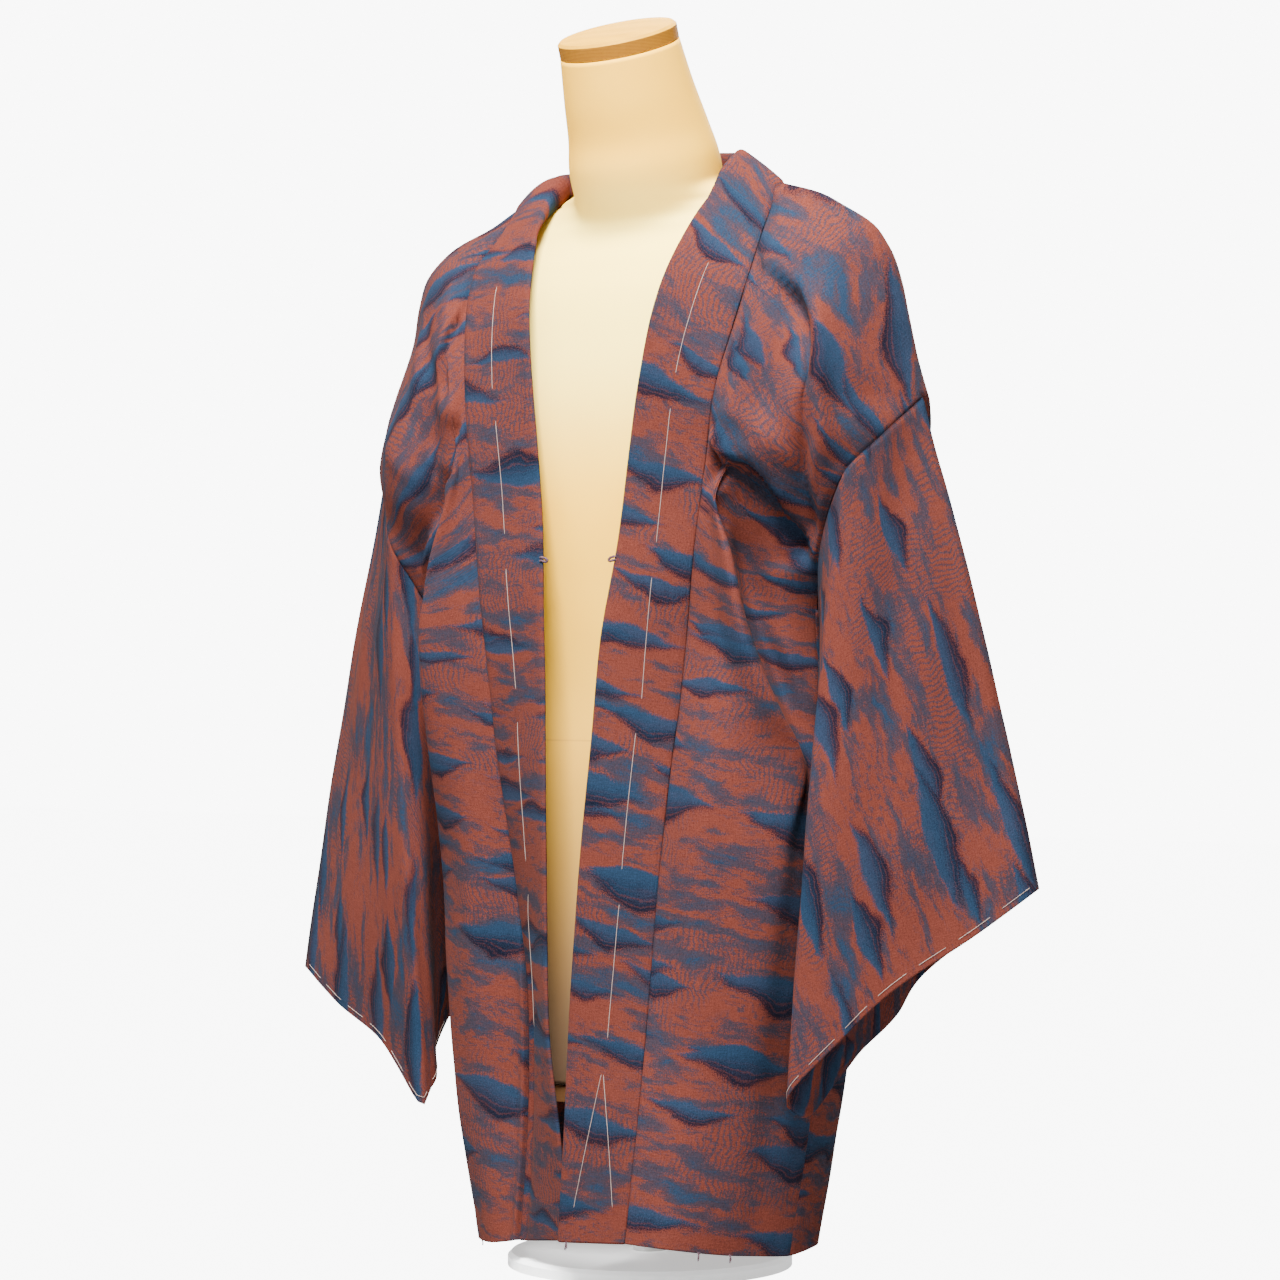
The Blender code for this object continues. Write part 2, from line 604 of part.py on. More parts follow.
def build_cloth():
    sheets = build_sheets()
    collar = collar_surface(sheets)
    collar_normal = grid_normals(collar)
    counts = {side: len(row_heights(side)) for side in SIGN}
    for side in ("left", "right"):
        front = sheets[side, "front"]
        back = sheets[side, "back"]
        gusset = sheets[side, "gusset"]
        sleeve = sheets[side, "sleeve"]
        flip = SIGN[side]
        n_front = grid_normals(front) * flip
        n_back = grid_normals(back) * flip
        n_gusset = grid_normals(gusset) * flip
        n_sleeve = grid_normals(sleeve, closed=True) * flip
        n_front[0, -1] = n_front[0, -2]      # the neck row is too short to measure

        drawn = SEAM_GAP + TWIST_GAP * smoothstep((row_heights(side) - 770) / 40)
        top = side_rows(side, ARMHOLE_TOP[side], NECK + 1)
        shared = unit(n_front[-1, top] + n_back[0, top])
        n_front[-1, top] = shared
        n_back[0, top] = shared

        # Seams: both pieces get one shared normal, so that their rims stay parallel.
        hole = side_rows(side, UNDERARM[side], ARMHOLE_TOP[side])[::-1]
        last = len(hole) - 1
        ring_front = np.arange(0, last + 1)
        count = len(sleeve)
        ring_back = np.concatenate([[0], np.arange(count - 1, count - 1 - last, -1)])
        shared = unit(n_front[-1, hole] + n_sleeve[ring_front, 0])
        n_front[-1, hole] = shared
        n_sleeve[ring_front, 0] = shared
        shared = unit(n_back[0, hole] + n_sleeve[ring_back, 0])
        shared[0] = n_front[-1, hole[0]]
        n_back[0, hole] = shared
        n_sleeve[ring_back, 0] = shared

        low = np.arange(gusset.shape[1])
        shared = unit(n_front[-1, low] + n_gusset[0])
        n_front[-1, low] = shared
        n_gusset[0] = shared
        shared = unit(n_back[0, low] + n_gusset[-1])
        n_back[0, low] = shared
        n_gusset[-1] = shared

        stations = np.arange(counts[side])
        if side == "right":
            stations = collar.shape[1] - 1 - stations
        seam = collar_normal[-1, stations]
        shared = unit(n_front[0] + seam)
        n_front[0] = shared
        collar_normal[-1, stations] = shared
        n_back[-1, :, 0] = 0
        n_back[-1] = unit(n_back[-1])
        stations = nape_stations(side, counts["left"])
        shared = unit(n_back[:, -1] + collar_normal[-1, stations])
        n_back[:, -1] = shared
        collar_normal[-1, stations] = shared
        share = np.linspace(0, 1, FRONT_STEPS + 1)[:, None]
        n_front[:, -1] = unit(n_front[0, -1] * (1 - share) + n_back[0, -1] * share)

        # Edges draw back by the seam gap.
        draw_back(front, 0, 1, drawn[:, None])
        draw_back(back, -1, -2, SEAM_GAP / 2)
        draw_back(gusset, 0, 1, SEAM_GAP)
        draw_back(gusset, -1, -2, SEAM_GAP)
        sleeve[:, 0] += unit(sleeve[:, 1] - sleeve[:, 0]) * ARMHOLE_GAP
        front[:, -1] += unit(front[:, -2] - front[:, -1]) * NECK_GAP
        back[:, -1] += unit(back[:, -2] - back[:, -1]) * NECK_GAP

        add_body(side, front, back, n_front, n_back)
        add_grid("gusset_" + side, gusset, n_gusset, flip)
        add_grid("sleeve_" + side, sleeve, n_sleeve, flip, closed=True)
        add_tie_loop(side)
    add_grid("collar", collar, collar_normal, 1, wall=COLLAR_WALL, kind="collar")


def add_body(side, front, back, n_front, n_back):
    """Front and back are one length of cloth, joined above the armhole's top."""
    flip = SIGN[side]
    front_index = np.arange(front[..., 0].size).reshape(front.shape[:2])
    back_index = np.arange(back[..., 0].size).reshape(back.shape[:2]) + front_index.size
    joined = side_rows(side, ARMHOLE_TOP[side], NECK + 1)
    back_index[0, joined] = front_index[-1, joined]
    points = np.concatenate([front.reshape(-1, 3), back.reshape(-1, 3)])
    normals = np.concatenate([n_front.reshape(-1, 3), n_back.reshape(-1, 3)])
    faces = grid_faces(front_index) + grid_faces(back_index)
    add_sheet("body_" + side, points, normals, faces, flip, BODY_WALL, "cloth")


def add_grid(name, points, normals, flip, closed=False, wall=BODY_WALL, kind="cloth"):
    index = np.arange(points[..., 0].size).reshape(points.shape[:2])
    faces = grid_faces(index, closed)
    add_sheet(name, points.reshape(-1, 3), normals.reshape(-1, 3), faces, flip, wall, kind)


def add_sheet(name, points, normals, faces, flip, wall, kind):
    """Drops the points that no face uses and turns the faces outwards."""
    if flip < 0:
        faces = [tuple(reversed(f)) for f in faces]
    kept = sorted({v for f in faces for v in f})
    number = {old: new for new, old in enumerate(kept)}
    faces = [tuple(number[v] for v in f) for f in faces]
    offset_wall(name, points[kept], normals[kept], faces, wall, kind)


def add_tie_loop(side):
    """Tiny cloth loop that stands on the collar's inner edge."""
    rows = np.array(INNER_EDGE[side], float)
    edge = through(rows[:, 3], rows[:, 1:3], LOOP_HEIGHT)[0]
    out = LOOP_RADIUS + LOOP_CORD + 0.6
    place = Matrix.Translation(
        (SIGN[side] * (edge[0] - out) * MM, (edge[1] - 0.5) * MM, LOOP_HEIGHT * MM)
    )
    bpy.ops.mesh.primitive_torus_add(
        major_segments=16,
        minor_segments=8,
        major_radius=LOOP_RADIUS * MM,
        minor_radius=LOOP_CORD * MM,
    )
    ring = bpy.context.object
    mesh = ring.data
    bpy.data.objects.remove(ring)
    loop = add_object("tie_loop_" + side, mesh, "collar")
    loop.matrix_world = place @ Matrix.Rotation(math.radians(90), 4, "X")


# ----------------------------------------------------------------------- the dress form
def torso_radius(ring, angles, centre):
    """Distance from (0, centre) to the ring's outline, in each direction."""
    half_width, front, back, power = ring[1:]
    radius = np.full(len(angles), 50.0)
    for _ in range(40):
        x = radius * np.cos(angles)
        y = radius * np.sin(angles) + centre
        depth = np.where(y < 0, front, back)
        value = np.abs(x / half_width) ** power + np.abs(y / depth) ** power
        radius = radius * np.maximum(value, 1e-6) ** (-0.5 / power)
    return radius


def form_rings():
    """Rings of the torso and neck in one run, merged smoothly at the shoulders."""
    angles = np.linspace(0, 2 * math.pi, FORM_STEPS, endpoint=False)
    neck = np.array(NECK_RINGS, float)
    torso = np.array(TORSO_RINGS, float)
    low = np.concatenate([np.linspace(140, 735, 15), TORSO_LEVELS])
    rings = []
    for z in low:
        ring = (z, *through(torso[:, 0], torso[:, 1:], z)[0])
        centre, thick, tilt = through(neck[:, 0], neck[:, 1:], max(z, neck[0, 0]))[0]
        if z < neck[0, 0]:
            centre, thick, tilt = centre * max(0.0, (z - 600) / 135), 1.0, 0.0
        shoulders = torso_radius(ring, angles, centre)
        radius = (shoulders**MERGE_POWER + thick**MERGE_POWER) ** (1 / MERGE_POWER)
        lean = tilt * smoothstep((z - 764) / 42)
        rings.append(ring_points(angles, radius, centre, z, lean))
    for z in NECK_LEVELS:
        centre, thick, tilt = through(neck[:, 0], neck[:, 1:], z)[0]
        rings.append(ring_points(angles, np.full(len(angles), thick), centre, z, tilt))
    return np.stack(rings, axis=1)


def ring_points(angles, radius, centre, z, tilt):
    x = radius * np.cos(angles)
    forward = radius * np.sin(angles)
    lean = math.radians(tilt)
    y = centre + forward * math.cos(lean)
    height = z + forward * math.sin(lean)
    return np.stack([x, y, height], axis=-1)


def build_form():
    points = form_rings()
    index = np.arange(points[..., 0].size).reshape(points.shape[:2])
    faces = grid_faces(index, closed=True)
    faces.append(tuple(index[::-1, 0]))
    faces.append(tuple(index[:, -1]))
    mesh = bpy.data.meshes.new("form_torso")
    flat = (points.reshape(-1, 3) * MM).tolist()
    mesh.from_pydata(flat, [], [tuple(int(v) for v in f) for f in faces])
    add_object("form_torso", mesh, "form")
    build_cap()
    build_stand(points)


def turned(name, profile, steps, kind):
    """Turned piece: a profile of (radius, height) with a Screw modifier."""
    mesh = bpy.data.meshes.new(name)
    vertices = [(r * MM, 0, z * MM) for r, z in profile]
    mesh.from_pydata(vertices, [(i, i + 1) for i in range(len(vertices) - 1)], [])
    piece = add_object(name, mesh, kind)
    screw = piece.modifiers.new("turn", "SCREW")
    screw.steps = steps
    screw.render_steps = steps
    screw.use_merge_vertices = True
    screw.merge_threshold = 0.00005
    screw.use_smooth_shade = True
    return piece


def build_cap():
    """Wooden disc on the neck: a straight side, a rounded edge and a low dome."""
    top = CAP_HEIGHT
    profile = ((0, top + CAP_DOME), (CAP_RADIUS * 0.6, top + CAP_DOME * 0.72),
               (CAP_RADIUS - CAP_EDGE, top), (CAP_RADIUS, top - CAP_EDGE),
               (CAP_RADIUS, CAP_EDGE * 0.5), (CAP_RADIUS - CAP_EDGE * 0.5, 0), (0, 0))
    cap = turned("neck_cap", profile, 48, "wood")
    z, centre, _, _ = NECK_RINGS[-1]
    place = Matrix.Translation((0, centre * MM, z * MM))
    lean = Matrix.Rotation(math.radians(CAP_TILT), 4, "X")
    cap.matrix_world = place @ lean @ Matrix.Translation((0, 0, SEAT * MM))


def build_stand(points):
    """Bottom board of the form's outline, a short pole and a round base."""
    outline = points[:, 0] * np.array([0.97, 0.97, 0])
    top = TORSO_RINGS[0][0] - SEAT
    lower = top - BOARD_HEIGHT
    ring = np.stack([outline + [0, 0, lower], outline + [0, 0, top]], axis=1)
    index = np.arange(ring[..., 0].size).reshape(ring.shape[:2])
    faces = grid_faces(index, closed=True)
    faces.append(tuple(index[::-1, 0]))
    faces.append(tuple(index[:, -1]))
    mesh = bpy.data.meshes.new("bottom_board")
    flat = (ring.reshape(-1, 3) * MM).tolist()
    mesh.from_pydata(flat, [], [tuple(int(v) for v in f) for f in faces])
    add_object("bottom_board", mesh, "wood", smooth=False)

    bottom = BASE_HEIGHT + SEAT
    pole = ((0, lower - SEAT), (POLE_RADIUS, lower - SEAT),
            (POLE_RADIUS, bottom), (0, bottom))
    turned("stand_pole", pole, 32, "metal")
    base = ((0, BASE_HEIGHT), (BASE_RADIUS - 3, BASE_HEIGHT), (BASE_RADIUS, BASE_HEIGHT - 3),
            (BASE_RADIUS, 0), (0, 0))
    turned("stand_base", base, 64, "metal")


def main():
    for old in list(bpy.data.objects):
        bpy.data.objects.remove(old)
    parts = bpy.data.collections.new("Haori jacket")
    bpy.context.scene.collection.children.link(parts)
    build_cloth()
    build_form()


main()
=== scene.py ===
# %% [markdown]
# # A haori on a dress form
# A haori is a loose, open-fronted jacket. Its maker cuts every piece straight along
# the thread of one narrow bolt of cloth, so the pieces are long strips: two body
# lengths that run over the shoulders, two side gussets, two sleeves and one collar.
# This lesson rebuilds each strip as its own thin shell, in the pose in which the
# jacket hangs. The hard pieces, the form and its stand, come from the CAD model, and the
# form's torso is then built again here from rings.

# %% Frame
import math

import bpy
import numpy as np
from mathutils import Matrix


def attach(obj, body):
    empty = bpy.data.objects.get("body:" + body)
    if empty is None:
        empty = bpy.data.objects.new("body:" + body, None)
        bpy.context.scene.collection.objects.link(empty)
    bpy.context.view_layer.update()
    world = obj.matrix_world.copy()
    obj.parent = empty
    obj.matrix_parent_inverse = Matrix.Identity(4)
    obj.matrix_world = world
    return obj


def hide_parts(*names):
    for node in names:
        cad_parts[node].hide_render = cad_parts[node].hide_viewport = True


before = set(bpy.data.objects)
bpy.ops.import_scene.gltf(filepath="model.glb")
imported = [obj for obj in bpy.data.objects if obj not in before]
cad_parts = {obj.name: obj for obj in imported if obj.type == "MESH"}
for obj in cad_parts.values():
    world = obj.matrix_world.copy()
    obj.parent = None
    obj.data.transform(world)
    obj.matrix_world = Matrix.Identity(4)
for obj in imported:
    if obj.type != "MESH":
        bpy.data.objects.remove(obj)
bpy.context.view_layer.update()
MM = 0.001
print("CAD nodes:", len(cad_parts))

# %% [markdown]
# ## Meshes, materials and node trees
# A few short helpers are used all through the lesson. They add a mesh as an object,
# start a material, and write node trees as if they were sums.

# %% Adding meshes


def add_mesh(name, vertices, faces, smooth=True):
    """A new object; vertices in metres, one smooth flag for all faces or one for each."""
    mesh = bpy.data.meshes.new(name)
    mesh.from_pydata(vertices, [], faces)
    mesh.polygons.foreach_set("use_smooth", np.array(np.broadcast_to(smooth, len(faces))))
    piece = bpy.data.objects.new(name, mesh)
    bpy.context.scene.collection.objects.link(piece)
    return piece


# %% A short way to write node trees


class Graph:
    """Adds nodes to a tree, sets or links their sockets and returns an output."""

    def __init__(self, tree):
        self.tree = tree

    def feed(self, socket, value):
        if isinstance(value, bpy.types.NodeSocket):
            self.tree.links.new(value, socket)
        elif value is not None:
            socket.default_value = value

    def fill(self, node, inputs):
        """Sets or links several inputs of one node."""
        for place, value in dict(inputs).items():
            self.feed(node.inputs[place], value)

    def node(self, kind, inputs=(), out=0, **settings):
        new = self.tree.nodes.new(kind)
        for key, value in settings.items():
            setattr(new, key, value)
        self.fill(new, inputs)
        return new.outputs[out]

    def math(self, operation, a, b=None, c=None, clamp=False):
        values = {0: a, 1: b, 2: c}
        return self.node("ShaderNodeMath", values, operation=operation, use_clamp=clamp)

    def times(self, a, b):
        return self.math("MULTIPLY", a, b)

    def plus(self, a, b):
        return self.math("ADD", a, b)

    def minus(self, a, b):
        return self.math("SUBTRACT", a, b)

    def absolute(self, a):
        return self.math("ABSOLUTE", a)

    def scaled(self, value, scale, offset):
        return self.math("MULTIPLY_ADD", value, scale, offset)

    def vector(self, x, y, z=0.0):
        return self.node("ShaderNodeCombineXYZ", {0: x, 1: y, 2: z})

    def stretch(self, vector, x, y, z=1.0):
        return self.move("MULTIPLY", vector, (x, y, z))

    def move(self, operation, vector, other, out=0):
        return self.node("ShaderNodeVectorMath", {0: vector, 1: other}, out=out,
                         operation=operation)

    def split(self, value, kind="XYZ"):
        """The three parts of a vector or, with kind Color, of a colour."""
        parts = self.tree.nodes.new("ShaderNodeSeparate" + kind)
        self.feed(parts.inputs[0], value)
        return parts.outputs

    def noise(self, vector, scale=1.0, detail=2.0, rough=0.5, out=0):
        inputs = {"Vector": vector, "Scale": scale, "Detail": detail, "Roughness": rough}
        return self.node("ShaderNodeTexNoise", inputs, out=out)

    def ramp(self, value, low, high, first=0.0, last=1.0):
        """Smooth rise from first to last while the value goes from low to high."""
        inputs = {0: value, 1: low, 2: high, 3: first, 4: last}
        return self.node("ShaderNodeMapRange", inputs, interpolation_type="SMOOTHSTEP")

    def mix(self, factor, a, b, blend="MIX"):
        inputs = {0: factor, 6: a, 7: b}
        return self.node("ShaderNodeMix", inputs, out=2, data_type="RGBA", blend_type=blend)

    def bump(self, height, strength, distance):
        """Normal of a surface with this height; the distance is in metres."""
        inputs = {"Height": height, "Strength": strength, "Distance": distance}
        return self.node("ShaderNodeBump", inputs)


def new_material(name):
    """A material, the graph of its tree and its Principled shader."""
    finish = bpy.data.materials.new(name)
    finish.use_nodes = True
    return finish, Graph(finish.node_tree), finish.node_tree.nodes["Principled BSDF"]


# %% [markdown]
# ## Camera and light
# The camera stands level with the middle of the jacket, about a third of a right angle
# to the wearer's left. A long lens from three metres keeps the sleeves in proportion.
# The light is a bright, even room with one strong soft panel high in front and two
# weaker ones, so that folds read as gentle shade and the deep ones go dark.

# %% Camera
VIEW_AZIMUTH = math.radians(32.0)
VIEW_DISTANCE = 3.0
VIEW_HEIGHT = 0.473
VIEW_SLIDE = 0.0076          # the axis of the form stands a little right of the middle
LENS = 111.1

camera_data = bpy.data.cameras.new("studio_camera")
camera_data.lens = LENS
camera_data.sensor_width = 36.0
camera_data.clip_start = 0.05
camera = bpy.data.objects.new("studio_camera", camera_data)
bpy.context.scene.collection.objects.link(camera)
ahead = (math.sin(VIEW_AZIMUTH), -math.cos(VIEW_AZIMUTH))
right = (math.cos(VIEW_AZIMUTH), math.sin(VIEW_AZIMUTH))
camera.location = (
    ahead[0] * VIEW_DISTANCE - right[0] * VIEW_SLIDE,
    ahead[1] * VIEW_DISTANCE - right[1] * VIEW_SLIDE,
    VIEW_HEIGHT,
)
camera.rotation_euler = (math.radians(90), 0, VIEW_AZIMUTH)
bpy.context.scene.camera = camera
print("camera at", tuple(round(v, 3) for v in camera.location))

# %% Floor and lights
FLOOR_SIZE = 12.0
BACKDROP = 9.0               # brightness of the white sweep behind the jacket
GLOW_SHARE = 0.97            # how much of that brightness the camera sees on the floor
ROOM_LIGHT = 0.55            # brightness of the even room for all other rays


def floor_finish():
    """Pale to the camera, like a lit sweep, but greyer to the light that bounces off it."""
    finish, graph, shader = new_material("pale_floor")
    graph.fill(shader, {"Base Color": (0.35, 0.35, 0.35, 1.0), "Roughness": 0.9})
    glow = graph.node("ShaderNodeEmission", {"Strength": BACKDROP})
    camera_ray = graph.node("ShaderNodeLightPath", out="Is Camera Ray")
    seen = graph.times(camera_ray, GLOW_SHARE)
    blend = graph.node("ShaderNodeMixShader", {0: seen, 1: shader.outputs[0], 2: glow})
    graph.feed(finish.node_tree.nodes["Material Output"].inputs[0], blend)
    return finish


def studio_floor():
    half = FLOOR_SIZE / 2
    corners = [(-half, -half, 0), (half, -half, 0), (half, half, 0), (-half, half, 0)]
    floor = add_mesh("studio_floor", corners, [(0, 1, 2, 3)], smooth=False)
    floor.data.materials.append(floor_finish())


def studio_room():
    """The room's even light; the camera sees it as a bright backdrop."""
    world = bpy.data.worlds.new("studio_room")
    bpy.context.scene.world = world
    world.use_nodes = True
    graph = Graph(world.node_tree)
    seen = graph.node("ShaderNodeLightPath", out="Is Camera Ray")
    strength = graph.node("ShaderNodeMapRange",
                          {"Value": seen, "To Min": ROOM_LIGHT, "To Max": BACKDROP})
    graph.fill(world.node_tree.nodes["Background"],
               {"Color": (1.0, 1.0, 1.0, 1.0), "Strength": strength})


def soft_panel(name, place, aim, size, power):
    """A square light panel that faces a point."""
    data = bpy.data.lights.new(name, "AREA")
    data.shape = "SQUARE"
    data.size = size
    data.energy = power
    panel = bpy.data.objects.new(name, data)
    bpy.context.scene.collection.objects.link(panel)
    panel.location = place
    offset = np.array(aim) - np.array(place)
    flat_reach = math.hypot(offset[0], offset[1])
    tilt = math.pi / 2 + math.atan2(offset[2], flat_reach)
    turn = math.atan2(offset[1], offset[0]) - math.pi / 2
    panel.rotation_euler = (tilt, 0, turn)


studio_floor()
studio_room()
soft_panel("key_panel", (0.5, -1.5, 3.1), (0.0, 0.0, 0.5), 1.4, 720.0)
soft_panel("fill_panel", (-2.4, -1.8, 1.3), (0.0, 0.0, 0.45), 1.6, 26.0)
soft_panel("back_panel", (-0.8, 2.6, 2.2), (0.0, 0.0, 0.5), 1.6, 150.0)

# %% [markdown]
# ## The lines of the cloth
# Cloth hangs along a few lines that a dresser would point at: the collar's seam, the
# edge and the valley of the fold under the arm, the drape by the armhole, the side
# seam. The tables hold where these lines run, in millimetres, at each height. A
# smooth curve through a handful of named lines is easier to steer than a sculpt, and
# the same curves can be read as finely as a render needs.

# %% Sizes of the jacket
ARMHOLE_TOP = {"left": 650.0, "right": 608.0}     # where the sleeve's top fold starts
UNDERARM = {"left": 500.0, "right": 470.0}        # lower end of the armhole seam
HEM = 30.0                                        # mean hem height, before the sag
NECK = 812.0                                      # mean height of the neck seam
SIGN = {"left": 1.0, "right": -1.0}
print("from hem to neck:", NECK - HEM, "mm")

# %% Tables of the cloth's lines

# Plan position (x, y) of named lines on the front, at each height. x is counted from
# the centre towards the side for both halves. "ridge" is the edge of the deep drag
# fold under the arm, "hollow" its valley and "fold" the drape fold by the armhole.
FRONT_PLACES = (0.0, 0.22, 0.45, 0.56, 0.78)
FRONT_LINES = {
    "left": (
        # height, seam, front, ridge, hollow, fold
        (30, (64, -140), (100, -131), (128, -98), (136, -82), (143, -62)),
        (120, (69, -130), (104, -123), (138, -95), (147, -78), (154, -56)),
        (215, (71, -117), (108, -116), (149, -90), (157, -73), (163, -51)),
        (325, (75, -105), (114, -109), (163, -78), (165, -62), (168, -44)),
        (394, (79, -96), (122, -101), (169, -64), (162, -50), (167, -39)),
        (425, (82, -92), (121, -98), (160, -82), (149, -58), (160, -44)),
        (465, (85, -89), (116, -95), (147, -95), (134, -63), (152, -48)),
        (540, (94, -92), (111, -97), (129, -99), (117, -71), (146, -62)),
        (580, (99, -90), (107, -95), (118, -99), (124, -84), (162, -78)),
        (610, (102, -88), (109, -92), (118, -94), (136, -90), (180, -86)),
        (650, (107, -87), (117, -90), (131, -92), (149, -86), (190, -86)),
        (711, (117, -70), (129, -76), (143, -78), (158, -73), (192, -66)),
        (735, (120, -61), (131, -66), (143, -69), (158, -64), (190, -53)),
        (764, (118, -40), (128, -47), (140, -50), (155, -47), (182, -37)),
        (780, (116, -27), (125, -33), (136, -35), (149, -33), (172, -24)),
        (793, (116, -18), (123, -22), (131, -24), (141, -22), (156, -15)),
        (805, (116, -13), (119.5, -14), (124.5, -13.5), (130, -12), (138, -8)),
        (812, (115.5, -10), (115.7, -8.5), (116, -6.8), (116.2, -5.2), (116.6, -2.6)),
    ),
    "right": (
        (30, (57, -92), (86, -86), (113, -63), (121, -53), (128, -42)),
        (120, (55, -84), (94, -83), (133, -64), (140, -54), (145, -43)),
        (211, (57, -82), (104, -82), (149, -57), (154, -49), (157, -40)),
        (290, (66, -84), (110, -85), (155, -53), (158, -46), (161, -38)),
        (396, (81, -90), (119, -91), (152, -75), (147, -54), (155, -42)),
        (446, (87, -90), (119, -93), (150, -86), (140, -57), (150, -44)),
        (500, (95, -89), (121, -94), (145, -91), (130, -63), (146, -52)),
        (545, (100, -88), (118, -93), (134, -93), (126, -73), (160, -69)),
        (580, (104, -86), (115, -90), (125, -92), (133, -80), (178, -81)),
        (608, (107, -86), (114, -89), (121, -90), (138, -84), (186, -81)),
        (660, (114, -82), (122, -86), (132, -87), (147, -82), (180, -71)),
        (704, (121, -72), (130, -77), (141, -78), (152, -73), (175, -57)),
        (735, (126, -60), (134, -66), (144, -67), (155, -61), (177, -45)),
        (760, (126, -47), (134, -51), (143, -51), (153, -46), (172, -33)),
        (778, (121, -31), (127, -34), (134, -35), (141, -30), (156, -19)),
        (793, (117.5, -19), (120, -20), (123, -19), (127, -16), (135, -10)),
        (804, (116, -13), (117.3, -12.5), (119, -11), (120.7, -9), (124, -5)),
        (812, (115.5, -10), (115.7, -8.5), (116, -6.8), (116.2, -5.2), (116.6, -2.6)),
    ),
}
# The fold of the cloth over the shoulder, from the armhole up to the neck: x at y = 0.
SHOULDER_LINE = {
    "left": ((650, 234), (683, 225), (711, 219), (735, 213), (764, 203), (780, 191),
             (793, 169), (805, 144), (812, 117)),
    "right": ((608, 246), (667, 230), (704, 217), (735, 212), (757, 204), (768, 194),
              (779, 179), (793, 146), (804, 129), (812, 117)),
}
# Free side of the front and of the back below the armhole's top: the armhole seam down
# to the underarm, then the gusset seam down to the hem.
FRONT_SIDE = {
    "left": ((30, 147, -42), (120, 158, -32), (215, 166, -29), (325, 169, -28),
             (425, 166, -29), (500, 166, -36), (540, 178, -54), (580, 196, -64),
             (592, 203, -65), (624, 226, -40), (650, 234, 0)),
    "right": ((30, 133, -29), (120, 149, -31), (211, 160, -29), (290, 163, -28),
              (396, 163, -29), (470, 164, -34), (515, 180, -55), (550, 202, -60),
              (583, 222, -35), (608, 246, 0)),
}
BACK_SIDE = {
    "left": ((30, 136, 20), (75, 143, 24), (105, 147, 27), (132, 152, 29),
             (161, 156, 30), (215, 161, 25), (325, 168, 14),
             (425, 166, 8), (500, 166, 8), (540, 176, 42), (580, 194, 62),
             (592, 199, 63), (624, 214, 40), (650, 234, 0)),
    "right": ((30, 134, 26), (120, 147, 26), (211, 160, 24), (290, 165, 16),
              (396, 165, 10), (470, 165, 8), (515, 182, 46), (550, 208, 62),
              (583, 237, 44), (608, 246, 0)),
}
BACK_PLACES = (1.3, 1.65, 2.0)
BACK_LINES = (
    # height, flank, blade, centre
    (30, (110, 63), (72, 103), (0, 128)),
    (120, (126, 65), (86, 106), (0, 126)),
    (215, (140, 66), (98, 107), (0, 122)),
    (325, (152, 64), (114, 106), (0, 117)),
    (465, (154, 58), (117, 101), (0, 112)),
    (540, (156, 74), (122, 104), (0, 112)),
    (610, (180, 82), (138, 106), (0, 114)),
    (650, (180, 55), (148, 98), (0, 114)),
    (711, (177, 43), (147, 86), (0, 111)),
    (735, (180, 46), (145, 83), (0, 108)),
    (764, (169, 37), (134, 74), (0, 102)),
    (780, (156, 31), (122, 68), (0, 97)),
    (793, (140, 25), (107, 62), (0, 92)),
    (805, (120, 19), (90, 57), (0, 86)),
    (812, (104, 22), (77, 55), (0, 82)),
)
# How far each line's hem lies above or below HEM, and the neck edge above NECK.
SAG_PLACES = (0.0, 0.22, 0.45, 0.78, 1.0, 1.5, 2.0)
HEM_SAG = {
    "left": (8, 5, -1, -5, -7, -12, -8),
    "right": (-5, -10, -13, -16, -18, -12, -8),
}
NECK_RISE = {
    "left": (-3, -2.5, -1.8, 0, 1, 1, 0),
    "right": (-7, -6.6, -6.1, -4.8, -4, -2, 0),
}
SAG_REACH = 190.0        # the hem's sag fades out over this height
RISE_REACH = 30.0
BLEND_BELOW_ARMHOLE = 60.0

# Soft hanging folds of the back: place across, height of the fold, half width (in
# places) and the height where it starts. They grow towards the hem.
BACK_FOLDS = (
    (1.36, -9.0, 0.07, 430.0),
    (1.50, 5.0, 0.07, 520.0),
    (1.68, -10.0, 0.08, 560.0),
    (1.86, 7.0, 0.08, 600.0),
)

# Ring of named points round the sleeve at the wrist. Places run from the top fold (0)
# down the front, round the inside by the body and up the back to the top fold (1).
FOLD_PLACE = 0.16        # the front's hanging fold edge
UNDERARM_PLACE = 0.40
FOLD_START = 0.39        # share of the armhole seam, from its top, where the fold starts
WRIST_RINGS = {
    "left": (
        (0.00, 320, 16, 294),    # top fold
        (0.03, 282, -16, 259),   # front, near the fold
        (0.06, 244, -47, 228),   # front
        (0.115, 201, -73, 182),  # front, low
        (0.16, 166, -82, 143),   # hanging fold, the tip
        (0.20, 168, -68, 130),   # under the tip
        (0.34, 178, -28, 152),   # inside
        (0.50, 181, 5, 172),     # inside, next to the body
        (0.66, 189, 40, 193),    # inside, back
        (0.84, 208, 70, 232),    # back fold
        (0.92, 262, 58, 267),    # back
    ),
    "right": (
        (0.00, 334, 10, 210),
        (0.06, 277, -20, 184),
        (0.115, 217, -44, 158),
        (0.14, 195, -53, 139),
        (0.16, 172, -62, 118),
        (0.20, 166, -52, 128),
        (0.34, 181, -24, 155),
        (0.50, 180, 5, 190),
        (0.66, 186, 36, 196),
        (0.84, 208, 66, 190),
        (0.92, 270, 52, 200),
    ),
}
FURI_LOW = {"left": (179, -6, 440), "right": (178, -6, 410)}  # lowest point of the slit
SLEEVE_BOW = 4.0         # how far the sleeve's middle stands out from straight lines

